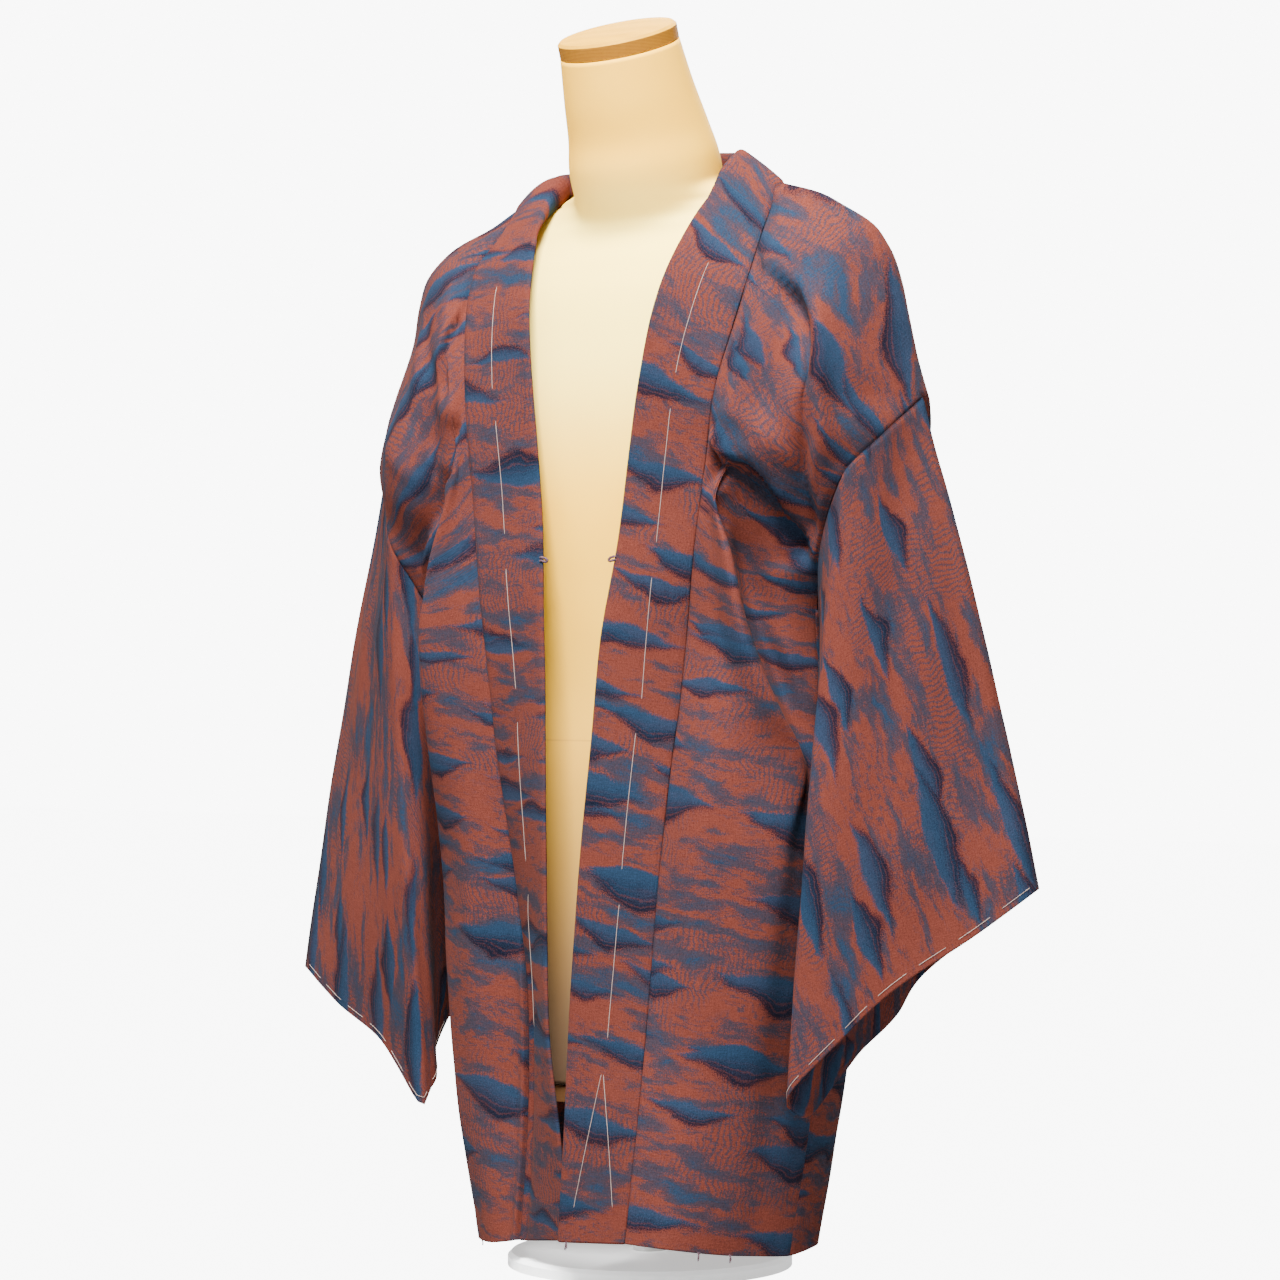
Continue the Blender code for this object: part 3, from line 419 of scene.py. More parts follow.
# The collar's inner edge, which becomes the crest of the turned collar at the neck.
# Each row goes with the body's seam line at the same height.
INNER_EDGE = {
    "left": (
        (30, 4, -134, 34), (120, 7, -130, 123), (215, 10, -126, 220),
        (325, 16, -120, 331), (394, 21, -115, 401), (465, 25, -109, 473),
        (540, 35, -100, 550), (605, 41, -94, 617), (650, 47, -91, 666),
        (690, 54, -84, 715), (722, 60, -71, 750), (750, 67, -50, 783),
        (780, 75, -28, 811), (800, 77, -12, 829), (812, 78, 3, 840),
    ),
    "right": (
        (30, 5, -125, 34), (120, 8, -126, 124), (211, 12, -126, 216),
        (290, 16, -122, 296), (365, 19, -118, 372), (435, 24, -111, 442),
        (490, 29, -105, 498), (545, 34, -98, 555), (600, 41, -94, 612),
        (650, 48, -91, 664), (704, 56, -83, 717), (735, 63, -70, 743),
        (757, 69, -56, 767), (778, 75, -40, 788), (795, 82, -22, 807),
        (804, 84, -9, 819), (812, 83, 5, 831),
    ),
}
# Crest of the turned collar behind the neck, from the wearer's left to the right.
NAPE_CREST = ((78, 3, 840), (63, 30, 842), (43, 53, 845), (0, 67, 848),
              (-44, 54, 844), (-69, 30, 836), (-83, 5, 831))
TURN_AT_NAPE = 9.0       # part of the width that is turned down inside at the nape
TURN_STARTS = 765.0      # seam height where the turn begins on each front
ROLL_RADIUS = 6.5        # roll of the turned collar's fold
FALL_BULGE = {"left": 1.0, "right": 5.0}     # how far the collar's fall rounds up
print("rows of the front's tables:", [len(rows) for rows in FRONT_LINES.values()])

# %% [markdown]
# ## Reading the tables
# Each line is read with a smooth curve that passes through every row of its table.
# A body half is a grid: one direction runs across the cloth from the collar's seam
# (0) over the side or shoulder (1) to the middle of the back (2), the other runs up.

# %% Smooth curve through a table


def through(places, values, wanted):
    """Smooth curve through values at rising places, read at the wanted places."""
    places = np.asarray(places, float)
    values = np.asarray(values, float)
    wanted = np.clip(np.atleast_1d(wanted), places[0], places[-1])
    slopes = np.gradient(values, places, axis=0)
    i = np.clip(np.searchsorted(places, wanted, side="right") - 1, 0, len(places) - 2)
    step = places[i + 1] - places[i]
    shape = (len(wanted),) + (1,) * (values.ndim - 1)
    t = ((wanted - places[i]) / step).reshape(shape)
    step = step.reshape(shape)
    rise = t * t * (3 - 2 * t)
    eased = values[i] * (1 - rise) + values[i + 1] * rise
    leaving = slopes[i] * step * (t * (1 - t) ** 2)
    arriving = slopes[i + 1] * step * (t * t * (1 - t))
    return eased + leaving - arriving


def smoothstep(value):
    """Smooth rise from 0 to 1 while the value goes from 0 to 1."""
    value = np.clip(value, 0.0, 1.0)
    return value * value * (3 - 2 * value)


def bell(value, width=1.0):
    """1 at zero, fading out softly on both sides over the width."""
    return np.exp(-((value / width) ** 2))


def unit(vectors):
    """The same directions with length 1."""
    return vectors / np.maximum(np.linalg.norm(vectors, axis=-1, keepdims=True), 1e-9)


def arc(points, axis=0):
    """Length along a grid's rows or columns, from its first point."""
    steps = np.linalg.norm(np.diff(points, axis=axis), axis=-1)
    start = np.zeros_like(np.take(steps, [0], axis=axis))
    return np.cumsum(np.concatenate([start, steps], axis=axis), axis=axis)


def arc_back(points, axis=0):
    """Length along a grid's rows or columns, counted back from its last point."""
    return np.flip(arc(np.flip(points, axis), axis), axis)


print("half way along a curve:", through((0, 1, 2), (0, 1, 4), 1.5)[0])

# %% The body's surface


def edge_line(side, table, heights):
    """Outer line of a body half: the shoulder fold above the armhole, its side below."""
    rows = np.array(table[side], float)
    top = ARMHOLE_TOP[side]
    below = through(rows[:, 0], rows[:, 1:], np.minimum(heights, top))
    fold = np.array(SHOULDER_LINE[side], float)
    x = through(fold[:, 0], fold[:, 1], np.maximum(heights, top))
    above = np.stack([x, np.zeros_like(x)], axis=-1)
    return np.where((heights >= top)[:, None], above, below)


def table_lines(table, heights):
    """Plan positions of a table's named lines at each height."""
    rows = [row[0] for row in table]
    columns = range(1, len(table[0]))
    lines = [through(rows, [row[k] for row in table], heights) for k in columns]
    return np.stack(lines)


def back_folds(points, across, heights):
    """Hanging folds, straight out from the axis, growing towards the hem."""
    out = points * np.array([1.0, 1.0, 0.0])
    size = np.zeros(points.shape[:2])
    for place, height, half_width, top in BACK_FOLDS:
        bump = bell(across - place, half_width)[:, None]
        size += height * bump * smoothstep((top - heights) / (top - HEM))[None]
    return unit(out) * size[..., None]


def body_surface(side, part, across, heights):
    """Outer face of the front (across 0 to 1) or back (1 to 2) of one body half."""
    front = table_lines(FRONT_LINES[side], heights)
    back = table_lines(BACK_LINES, heights)
    side_table = FRONT_SIDE if part == "front" else BACK_SIDE
    edge = edge_line(side, side_table, heights)[None]
    every = FRONT_PLACES + (1.0,) + BACK_PLACES
    whole = through(every, np.concatenate([front, edge, back]), across)
    if part == "front":
        alone = through(FRONT_PLACES + (1.0,), np.concatenate([front, edge]), across)
    else:
        alone = through((1.0,) + BACK_PLACES, np.concatenate([edge, back]), across)
    start = ARMHOLE_TOP[side] - BLEND_BELOW_ARMHOLE
    share = smoothstep((heights - start) / BLEND_BELOW_ARMHOLE)[None, :, None]
    plan = whole * share + alone * (1 - share)
    sag = through(SAG_PLACES, HEM_SAG[side], across)[:, None]
    rise = through(SAG_PLACES, NECK_RISE[side], across)[:, None]
    near_hem = np.clip(1 - (heights - HEM) / SAG_REACH, 0, 1) ** 2
    near_neck = np.clip(1 - (NECK - heights) / RISE_REACH, 0, 1) ** 2
    z = heights + sag * near_hem + rise * near_neck
    points = np.concatenate([plan, z[..., None]], axis=-1)
    if part == "back":
        points = points + back_folds(points, across, heights)
    points[..., 0] *= SIGN[side]
    return points


low_end = np.array([UNDERARM["left"]])
print("left underarm at", np.round(body_surface("left", "front", (1.0,), low_end)[0, 0]))

# %% [markdown]
# ## How finely each piece is read
# A seam shows as a shallow groove a millimetre or two wide, so the grid needs a few
# very close lines beside each seam and each hem. Between them, lines some five
# millimetres apart are enough for soft folds.

# %% Places of the grid lines
FRONT_STEPS = 64
BACK_STEPS = 48
HEM_ROWS = 84
BELOW_FOLD_ROWS = 18
ABOVE_FOLD_ROWS = 26
SHOULDER_ROWS = 40
SLEEVE_ROWS = 64
SLIT_ROWS = 12
COLLAR_COLUMNS = 26
GUSSET_COLUMNS = 12
CLOSE_LINES = (0.0, 0.8, 1.8, 3.2, 5.0)       # mm from a seam or an edge
ROW_CROWDING = 1.4                            # rows get closer towards the neck
FRONT_SPAN = 235.0                            # mm across the front, roughly
BACK_SPAN = 240.0


def places_between(low, high, steps, width, low_seam=True, high_seam=True):
    """Even places with close lines beside the seams; width is the span in mm."""
    close = np.array(CLOSE_LINES) / width * (high - low)
    first = low + close if low_seam else np.array([low])
    last = high - close[::-1] if high_seam else np.array([high])
    inner = np.linspace(first[-1], last[0], steps + 1)[1:-1]
    return np.concatenate([first, inner, last])


def row_heights(side):
    """Heights of the rows, with one at the underarm and one at the armhole's top."""
    low, top = UNDERARM[side], ARMHOLE_TOP[side]
    fold = top - FOLD_START * (top - low)
    lower = places_between(HEM, low, HEM_ROWS, low - HEM, high_seam=False)
    below = np.linspace(low, fold, BELOW_FOLD_ROWS + 1)[1:]
    above = np.linspace(fold, top, ABOVE_FOLD_ROWS + 1)[1:]
    shares = 1 - (1 - np.linspace(0, 1, SHOULDER_ROWS + 1)[1:]) ** ROW_CROWDING
    return np.concatenate([lower, below, above, top + (NECK - top) * shares])


def rows_between(side, low, high):
    """Numbers of a body half's rows from one height to another."""
    heights = row_heights(side)
    return np.flatnonzero((heights >= low - 1e-6) & (heights <= high + 1e-6))


FRONT_ACROSS = places_between(0.0, 1.0, FRONT_STEPS, FRONT_SPAN)
BACK_ACROSS = places_between(1.0, 2.0, BACK_STEPS, BACK_SPAN)
print("front grid:", len(FRONT_ACROSS), "by", len(row_heights("left")))

# %% [markdown]
# ## The flat cut
# A weave and a printed pattern belong to the flat cloth, before it is worn. So each
# point gets its place on the flat cut, in metres, as its UV. The lengths are measured
# on the hanging cloth: along the shoulder's fold, along the two long edges and along
# each row between them. The cloth that the folds under the arm take up is let in
# beside the armhole, and there and on the sleeves the pattern comes out squeezed or
# stretched. A projection from one side would be quicker, but it would smear the
# pattern on every fold.

# %% Laying a body piece out flat
HALF_WIDTH = 300.0           # the body length is cut this wide, centre back to armhole
LEVEL_BELOW = 430.0          # from here down the weft hangs level
NECK_DROP = {"front": 0.0, "back": 75.0}     # how far the neck seam lies below the fold
LEAST_RUN = 0.45             # the cut never gets narrower than this share of a row


def body_cut(side, part, points, heights):
    """Flat cut of a front or a back, the shoulder's fold lying along v = 0."""
    grid = points[::-1] if part == "front" else points
    knee = int(np.argmin(np.abs(heights - ARMHOLE_TOP[side])))
    level = int(np.argmin(np.abs(heights - LEVEL_BELOW)))
    up_edge = arc(grid[0])
    up_edge = up_edge - up_edge[knee]
    edge_u = HALF_WIDTH - np.maximum(up_edge, 0)
    below = np.maximum(-up_edge, 0)
    up_far = arc(grid[-1])
    far_v = up_far[-1] - up_far + NECK_DROP[part]
    let_in = far_v[level] - below[level]
    edge_v = below + let_in * smoothstep(below / below[level])
    out = arc(grid, axis=0)
    width = np.maximum(out[-1], 1e-6)
    share = out / width
    drop = far_v - edge_v
    run = np.sqrt(np.maximum(width**2 - drop**2, (LEAST_RUN * width) ** 2))
    u = edge_u[None] - run[None] * share
    v = edge_v[None] + drop[None] * share
    cut = np.stack([u, -v if part == "front" else v], axis=-1)
    return cut[::-1] if part == "front" else cut


trial_rows = row_heights("left")
trial = body_surface("left", "front", FRONT_ACROSS, trial_rows)
trial = body_cut("left", "front", trial, trial_rows)
print("front cut spans", np.round(trial.min((0, 1))), "to", np.round(trial.max((0, 1))))

# %% [markdown]
# ## Folds pressed by hand
# The named lines give the big drape. The small creases come on top: each is a line
# on the cloth with its own depth and width, deepest in its middle and fading out at
# its ends. Positive heights are ridges, negative ones troughs. No two are alike.

# %% Pressing a crease into a grid
CREASE_POINTS = 18
CREASE_FADE = 0.7        # below 1, a crease keeps its depth nearly to its ends
TUCK_EDGE = 0.6          # a tuck falls over this share of its depth
TUCK_LIP = 0.22          # the high side stands up by this share of it
TUCK_RISE = 5            # a tuck reaches its depth over a fifth of its line
TUCK_RUN_OUT = 10        # and loses it over the last tenth
TUCK_CLEAR = 7.0         # tucks fade out this near to the armhole seam, in mm
TUCK_BESIDE_COLLAR = 6.0     # and this near to the collar's seam
SEAM_REACH = 2.2         # half width of the groove beside a seam


def grid_place(points, columns, rows, column, row):
    """The point of a grid at any place between its lines."""
    i = np.interp(column, columns, np.arange(len(columns)))
    j = np.interp(row, rows, np.arange(len(rows)))
    i0 = int(min(i, len(columns) - 2))
    j0 = int(min(j, len(rows) - 2))
    a, b = i - i0, j - j0
    near = points[i0, j0] * (1 - a) + points[i0 + 1, j0] * a
    far = points[i0, j0 + 1] * (1 - a) + points[i0 + 1, j0 + 1] * a
    return near * (1 - b) + far * b


def crease_line(points, columns, rows, path):
    """The crease's own points on the cloth, evenly smooth from end to end."""
    marks = np.linspace(0, 1, len(path))
    read = through(marks, path, np.linspace(0, 1, CREASE_POINTS))
    return np.array([grid_place(points, columns, rows, c, r) for c, r in read])


def nearest_place(points, line):
    """Distance of every grid point to a line, the share along it and the foot point."""
    nearest = np.full(points.shape[:2], 1e9)
    share = np.zeros(points.shape[:2])
    foot = np.zeros(points.shape)
    for k in range(len(line) - 1):
        step = line[k + 1] - line[k]
        t = np.clip(((points - line[k]) @ step) / max(step @ step, 1e-9), 0, 1)
        spot = line[k] + t[..., None] * step
        gap = np.linalg.norm(points - spot, axis=-1)
        closer = gap < nearest
        nearest = np.where(closer, gap, nearest)
        share = np.where(closer, (k + t) / (len(line) - 1), share)
        foot = np.where(closer[..., None], spot, foot)
    return nearest, share, foot


def press(points, columns, rows, creases):
    """Height of all creases together, at every point of the grid."""
    height = np.zeros(points.shape[:2])
    for path, depth, half_width in creases:
        nearest, share, _ = nearest_place(points, crease_line(points, columns, rows, path))
        fade = np.sin(math.pi * np.clip(share, 0, 1)) ** CREASE_FADE
        height += depth * fade * bell(nearest, half_width)
    return height


def tuck(points, columns, rows, tucks):
    """Height of folds with one crisp edge: a sharp fall on one side of the line."""
    height = np.zeros(points.shape[:2])
    across = unit(np.gradient(points, axis=0))
    for path, depth, width, low_side in tucks:
        nearest, share, foot = nearest_place(points, crease_line(points, columns, rows, path))
        beside = np.sum((points - foot) * across, axis=-1) * low_side
        low = np.where(beside > 0, nearest, -nearest)
        fade = smoothstep(share * TUCK_RISE) * smoothstep((1 - share) * TUCK_RUN_OUT)
        step = smoothstep(low / (TUCK_EDGE * depth))
        fall = bell(nearest, width) * step
        lip = TUCK_LIP * bell(nearest, 0.4 * width) * (low <= 0)
        lip = lip + TUCK_LIP * (low > 0) * (1 - step)
        height += depth * fade * (lip - fall)
    at_collar = smoothstep(arc(points) / TUCK_BESIDE_COLLAR)
    return height * smoothstep(arc_back(points) / TUCK_CLEAR) * at_collar


def seam_dip(points, axis, end, depth):
    """Groove beside a seam on the first (0) or last (-1) line of an axis."""
    distance = arc(points, axis) if end == 0 else arc_back(points, axis)
    return -depth * bell(distance, SEAM_REACH)


def even_waves(points, height):
    """Slight unevenness of hanging cloth, so that no panel is dead flat."""
    x, y, z = points[..., 0], points[..., 1], points[..., 2]
    slow = np.sin(x * 0.043 + z * 0.017 + 1.3) * np.sin(z * 0.026 - y * 0.05)
    quick = np.sin(x * 0.11 - z * 0.031) * np.sin(z * 0.047 + y * 0.09 + 0.6)
    return height * (0.7 * slow + 0.3 * quick)


def grid_normals(points, closed=False):
    """Unit normals of a grid of points; closed wraps the first axis."""
    if closed:
        du = np.roll(points, -1, axis=0) - np.roll(points, 1, axis=0)
    else:
        du = np.gradient(points, axis=0)
    dv = np.gradient(points, axis=1)
    return unit(np.cross(unit(du), unit(dv)))


print("a crease is read at", CREASE_POINTS, "points")

# %% [markdown]
# ## A thin shell
# The cloth is a little over a millimetre thick. The shell has an outer face, an
# inner face and a rounded rim. A Solidify modifier would do nearly the same, but
# here the rim gets its own middle line, which rounds the hems. The collar is folded
# cloth, so its wall is twice as thick.

# %% Building a shell
BODY_WALL = 1.2
COLLAR_WALL = 2.4
RIM_ROUND = 0.35         # the rim's middle line stands out by this share of the wall


def numbered(grid):
    """Vertex numbers in the shape of a grid of points."""
    return np.arange(grid[..., 0].size).reshape(grid.shape[:2])


class Patch:
    """A grid of the cloth: its points, outward normals and flat cut."""

    def __init__(self, points, normals, cut):
        self.points = points
        self.normals = normals
        self.cut = cut


def patch_quads(index, closed=False):
    """Vertex numbers and grid places of the faces over a grid of vertex numbers."""
    n, m = index.shape
    i, j = np.meshgrid(np.arange(n if closed else n - 1), np.arange(m - 1), indexing="ij")
    i, j = i.ravel(), j.ravel()
    corners = ((i, j), (i + 1, j), (i + 1, j + 1), (i, j + 1))
    faces = np.stack([index[a % n, b] for a, b in corners], axis=1)
    places = np.stack([np.stack([a, b], axis=1) for a, b in corners], axis=1)
    return faces, places


def outer_face(patches, indices, closed, flip):
    """Points, normals, faces and flat cut of several patches as one surface."""
    count = max(int(index.max()) for index in indices) + 1
    outer = np.zeros((count, 3))
    normal = np.zeros((count, 3))
    faces, cuts = [], []
    for patch, index in zip(patches, indices):
        outer[index.ravel()] = patch.points.reshape(-1, 3)
        normal[index.ravel()] = patch.normals.reshape(-1, 3)
        quads, places = patch_quads(index, closed)
        faces.append(quads)
        cuts.append(patch.cut[places[..., 0], places[..., 1]])
    faces, cuts = np.concatenate(faces), np.concatenate(cuts)
    if flip:
        faces, cuts = faces[:, ::-1], cuts[:, ::-1]
    return outer, normal, faces, cuts


def open_edges(faces, cuts, count):
    """Edges that only one face has: their two ends and the flat cut at both."""
    tails, heads = faces.ravel(), np.roll(faces, -1, axis=1).ravel()
    edge_cut = np.stack([cuts, np.roll(cuts, -1, axis=1)], axis=2).reshape(-1, 2, 2)
    alone = ~np.isin(tails * count + heads, heads * count + tails)
    return tails[alone], heads[alone], edge_cut[alone]


def shell(name, patches, indices, wall, closed=False, flip=False):
    """Closed thin wall over patches that may share vertices, with its UV map."""
    outer, normal, faces, cuts = outer_face(patches, indices, closed, flip)
    count = len(outer)
    inner = outer - normal * wall
    tails, heads, edge_cut = open_edges(faces, cuts, count)
    away = np.zeros((count, 3))
    side_way = unit(np.cross(outer[heads] - outer[tails], normal[tails]))
    np.add.at(away, tails, side_way)
    np.add.at(away, heads, side_way)
    middle = (outer + inner) / 2 + unit(away) * (wall * RIM_ROUND)
    on_rim = np.unique(np.concatenate([tails, heads]))
    rim_number = np.zeros(count, int)
    rim_number[on_rim] = np.arange(len(on_rim)) + 2 * count
    rim_tails, rim_heads = rim_number[tails], rim_number[heads]
    rim_out = np.stack([heads, tails, rim_tails, rim_heads], axis=1)
    rim_in = np.stack([rim_heads, rim_tails, tails + count, heads + count], axis=1)
    rim_cut = edge_cut[:, [1, 0, 0, 1]]
    vertices = np.concatenate([outer, inner, middle[on_rim]]) * MM
    every = np.concatenate([faces, faces[:, ::-1] + count, rim_out, rim_in])
    every_cut = np.concatenate([cuts, cuts[:, ::-1], rim_cut, rim_cut])
    return cloth_object(name, vertices, every, every_cut * MM)


def cloth_object(name, vertices, faces, cuts):
    """A piece of cloth from its wall's mesh, with the flat cut as its UV map."""
    piece = add_mesh(name, vertices.tolist(), faces.tolist())
    layer = piece.data.uv_layers.new(name="flat_cut")
    layer.data.foreach_set("uv", cuts.reshape(-1).astype(np.float32))
    piece.data.update()
    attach(piece, "root")
    print(name, "has", 2 * len(faces), "triangles")
    return piece


print("walls of", BODY_WALL, "and", COLLAR_WALL, "mm")

# %% [markdown]
# ## Creases of this jacket
# On the wearer's left the cloth is drawn from the collar's seam towards the arm, so
# a sharp fold and a long soft drape lie beside it. On the right the shoulder pulls
# in short diagonal creases. The back and the far sleeve get folds of the same kind.

# %% Crease tables
# Each row: the line as (across, height) places, its height in mm, its half width.
FRONT_CREASES = {
    "left": (
        (((0.505, 596), (0.510, 530), (0.512, 465), (0.495, 425), (0.490, 390)), -4.0, 9),
        (((0.22, 616), (0.55, 605), (0.75, 573), (0.87, 552), (0.97, 536)), -4.0, 7),
        (((0.25, 645), (0.52, 632), (0.74, 602), (0.88, 577), (0.97, 556)), 3.4, 10),
        (((0.10, 735), (0.36, 695), (0.55, 652), (0.70, 615), (0.82, 580)), -3.0, 12),
        (((0.08, 560), (0.20, 500), (0.30, 430), (0.36, 370)), -1.0, 9),
        (((0.62, 505), (0.72, 470), (0.83, 445)), 2.0, 8),
        (((0.60, 455), (0.70, 425), (0.80, 405)), -2.0, 8),
        (((0.10, 360), (0.20, 260), (0.28, 150), (0.30, 60)), 1.5, 14),
        (((0.55, 300), (0.58, 200), (0.60, 110), (0.62, 40)), -2.0, 12),
        (((0.16, 300), (0.13, 210), (0.14, 110)), -1.0, 10),
    ),
    "right": (
        (((0.70, 735), (0.62, 700), (0.50, 670), (0.40, 650)), -2.0, 7),
        (((0.78, 715), (0.68, 680), (0.55, 655), (0.42, 640)), 2.2, 7),
        (((0.85, 700), (0.75, 660), (0.62, 630), (0.50, 610)), -2.2, 7),
        (((0.92, 670), (0.82, 630), (0.70, 600), (0.58, 585)), 2.0, 8),
        (((0.60, 690), (0.56, 655), (0.60, 618), (0.63, 587), (0.68, 560)), -6.0, 9),
        (((0.10, 560), (0.28, 530), (0.42, 500), (0.52, 480)), -1.6, 8),
        (((0.12, 380), (0.22, 270), (0.27, 160), (0.28, 60)), 1.4, 13),
        (((0.50, 320), (0.55, 220), (0.58, 120), (0.60, 40)), -1.6, 12),
    ),
}
# Folds with a crisp edge: the line, the fall in mm, its reach and the side that falls
# (1 away from the collar, -1 towards it).
FRONT_TUCKS = {
    "left": (
        # the flap of the drag fold, the drag to the armhole, the drape beside it
        (((0.42, 584), (0.450, 560), (0.448, 511), (0.475, 470), (0.452, 423),
          (0.446, 380)), 7.0, 15, 1),
        (((-0.04, 628), (0.19, 618), (0.50, 607), (0.62, 598), (0.79, 567), (0.95, 542),
          (1.0, 528)), 16.0, 26, -1),
        (((0.16, 764), (0.56, 738), (0.70, 714), (0.757, 688), (0.795, 645), (0.842, 609),
          (0.93, 578), (1.0, 555), (1.0, 530)), 16.0, 24, -1),
    ),
    "right": (
        # the panel's edge below the collar, the drape from the shoulder
        (((-0.03, 645), (0.13, 626), (0.46, 590), (0.68, 558), (0.80, 540), (0.90, 526)),
         8.0, 18, 1),
        (((-0.03, 730), (0.22, 715), (0.41, 698), (0.48, 675), (0.48, 655)), 6.0, 14, -1),
    ),
}
BACK_CREASES = (
    (((1.10, 690), (1.22, 640), (1.35, 600), (1.50, 575)), -2.4, 10),
    (((1.06, 650), (1.18, 600), (1.30, 565), (1.42, 545)), 2.0, 9),
    (((1.25, 720), (1.38, 680), (1.52, 650)), -1.5, 12),
    (((1.12, 480), (1.20, 380), (1.24, 260), (1.22, 140)), 2.2, 12),
    (((1.30, 420), (1.33, 300), (1.32, 180), (1.34, 60)), -1.8, 10),
    (((1.58, 480), (1.60, 340), (1.57, 200), (1.58, 70)), 2.0, 13),
    (((1.78, 520), (1.76, 400), (1.79, 260), (1.77, 120)), -1.6, 12),
)
# Sleeve creases: (place round the sleeve, share of the way to the mouth).
SLEEVE_CREASES = {
    "left": (
        (((0.050, 0.02), (0.062, 0.30), (0.075, 0.62), (0.080, 0.92)), -1.8, 13),
        (((0.105, 0.04), (0.118, 0.34), (0.126, 0.70), (0.122, 0.96)), 1.6, 11),
        (((0.020, 0.10), (0.030, 0.35), (0.045, 0.60)), 1.4, 12),
        (((0.930, 0.03), (0.915, 0.32), (0.905, 0.64), (0.910, 0.94)), -2.4, 14),
        (((0.870, 0.05), (0.855, 0.36), (0.845, 0.70), (0.850, 0.97)), 2.2, 12),
        (((0.975, 0.12), (0.960, 0.40), (0.950, 0.72)), 1.6, 11),
    ),
    "right": (
        (((0.055, 0.02), (0.070, 0.32), (0.082, 0.60), (0.086, 0.90)), -2.0, 12),
        (((0.110, 0.05), (0.120, 0.38), (0.124, 0.74), (0.118, 0.97)), 1.7, 11),
        (((0.030, 0.08), (0.040, 0.30), (0.052, 0.55)), 1.5, 10),
        (((0.925, 0.02), (0.912, 0.36), (0.900, 0.66), (0.905, 0.95)), -2.2, 13),
        (((0.875, 0.04), (0.860, 0.40), (0.848, 0.72), (0.852, 0.96)), 2.0, 12),
    ),
}
WAVE = 0.7               # unevenness of every panel, in mm
print("creases:", sum(len(c) for c in FRONT_CREASES.values()) + 2 * len(BACK_CREASES))

# %% [markdown]
# ## Body lengths
# Each body half is one strip from the front hem over the shoulder to the back hem.
# There is no seam on the shoulder. Below the armhole the strip is open at its side,
# where the sleeve and the gusset join it.

# %% Body halves
SEAM_DEPTH = 0.9
BACK_SEAM_SHARE = 0.7    # the centre-back seam has this share of the depth
SEAM_RUN_OUT = 6.0       # the armhole's groove ends this far up the shoulder's fold
LIP_TOP = 270.0          # below this the right front's edge is rolled into a lip
LIP_FADE = 60.0          # height over which the lip comes up
LIP_RISE = 5.0
LIP_START = 2.0          # it rises over this distance from the collar's seam,
LIP_TURN = 2.5           # is highest as far as this, and falls off over:
LIP_REACH = 4.5
# The fold under the arm runs out softly at this height, beside the collar.
SOFT_LEVEL = {"left": 592.0, "right": 628.0}
SOFT_HEIGHT = 20.0
SOFT_ACROSS = (0.62, 0.12)   # where the softening ends and over how wide a strip
NECK_CALM = 40.0         # creases fade out over this height below the neck seam
FOLD_SHARING = 5.0       # lines beside the shoulder's fold that share its height
MIRROR_CUT = 1000.0      # the right half's cut is mirrored about half of this
sheets = {}              # grids of the finished cloth, which the threads are laid on


def relax(points, weight, rounds=30):
    """Evens out a part of a grid of points; the outermost lines stay."""
    pull = weight[1:-1, 1:-1, None]
    for _ in range(rounds):
        across = points[:-2, 1:-1] + points[2:, 1:-1]
        along = points[1:-1, :-2] + points[1:-1, 2:]
        points[1:-1, 1:-1] += pull * ((across + along) / 4 - points[1:-1, 1:-1])
    return points


def low_rows(heights):
    """1 at the rows where the right front's edge rolls over the collar, 0 above them."""
    return smoothstep((LIP_TOP - heights) / LIP_FADE)


def rolled_lip(front, heights):
    """Height of the soft roll that the right front has beside the collar's low end."""
    from_seam = arc(front)
    roll = smoothstep(from_seam / LIP_START)
    roll = roll * bell(np.maximum(from_seam - LIP_TURN, 0), LIP_REACH)
    return LIP_RISE * roll * low_rows(heights)


def smooth_rows(normals, rounds=2):
    """Evens out normals along each row, for the short rows by the neck."""
    for _ in range(rounds):
        middle = (normals[:-2] + normals[2:]) / 2
        normals[1:-1] = unit(normals[1:-1] + middle)
    return normals


def agreed_normals(side, front, back, top):
    """Normals of both grids, agreed along the fold, the neck and the back's middle."""
    n_front = grid_normals(front) * SIGN[side]
    n_back = grid_normals(back) * SIGN[side]
    shared = unit(n_front[-1, top] + n_back[0, top])
    n_back[:, -1] = n_back[:, -2]
    shared[-1] = n_back[0, -1]
    n_front[-1, top] = n_back[0, top] = shared
    share = np.linspace(0, 1, len(front))[:, None]
    n_front[:, -1] = unit(n_front[0, -4] * (1 - share) + n_back[0, -1] * share)
    n_back[-1, :, 0] = 0
    n_back[-1] = unit(n_back[-1])
    return n_front, n_back


def front_relief(side, front, heights, open_rows):
    """Height of all creases, tucks, seams and waves of a front."""
    relief = press(front, FRONT_ACROSS, heights, FRONT_CREASES[side])
    relief += tuck(front, FRONT_ACROSS, heights, FRONT_TUCKS[side])
    relief += seam_dip(front, 0, 0, SEAM_DEPTH)
    relief += seam_dip(front, 0, -1, SEAM_DEPTH) * open_rows
    if side == "right":
        relief += rolled_lip(front, heights)
    return relief + even_waves(front, WAVE)


def back_relief(back, heights, open_rows):
    """Height of all creases, seams and waves of a back."""
    relief = press(back, BACK_ACROSS, heights, BACK_CREASES)
    relief += seam_dip(back, 0, 0, SEAM_DEPTH) * open_rows
    relief += seam_dip(back, 0, -1, SEAM_DEPTH * BACK_SEAM_SHARE)
    return relief + even_waves(back, WAVE)


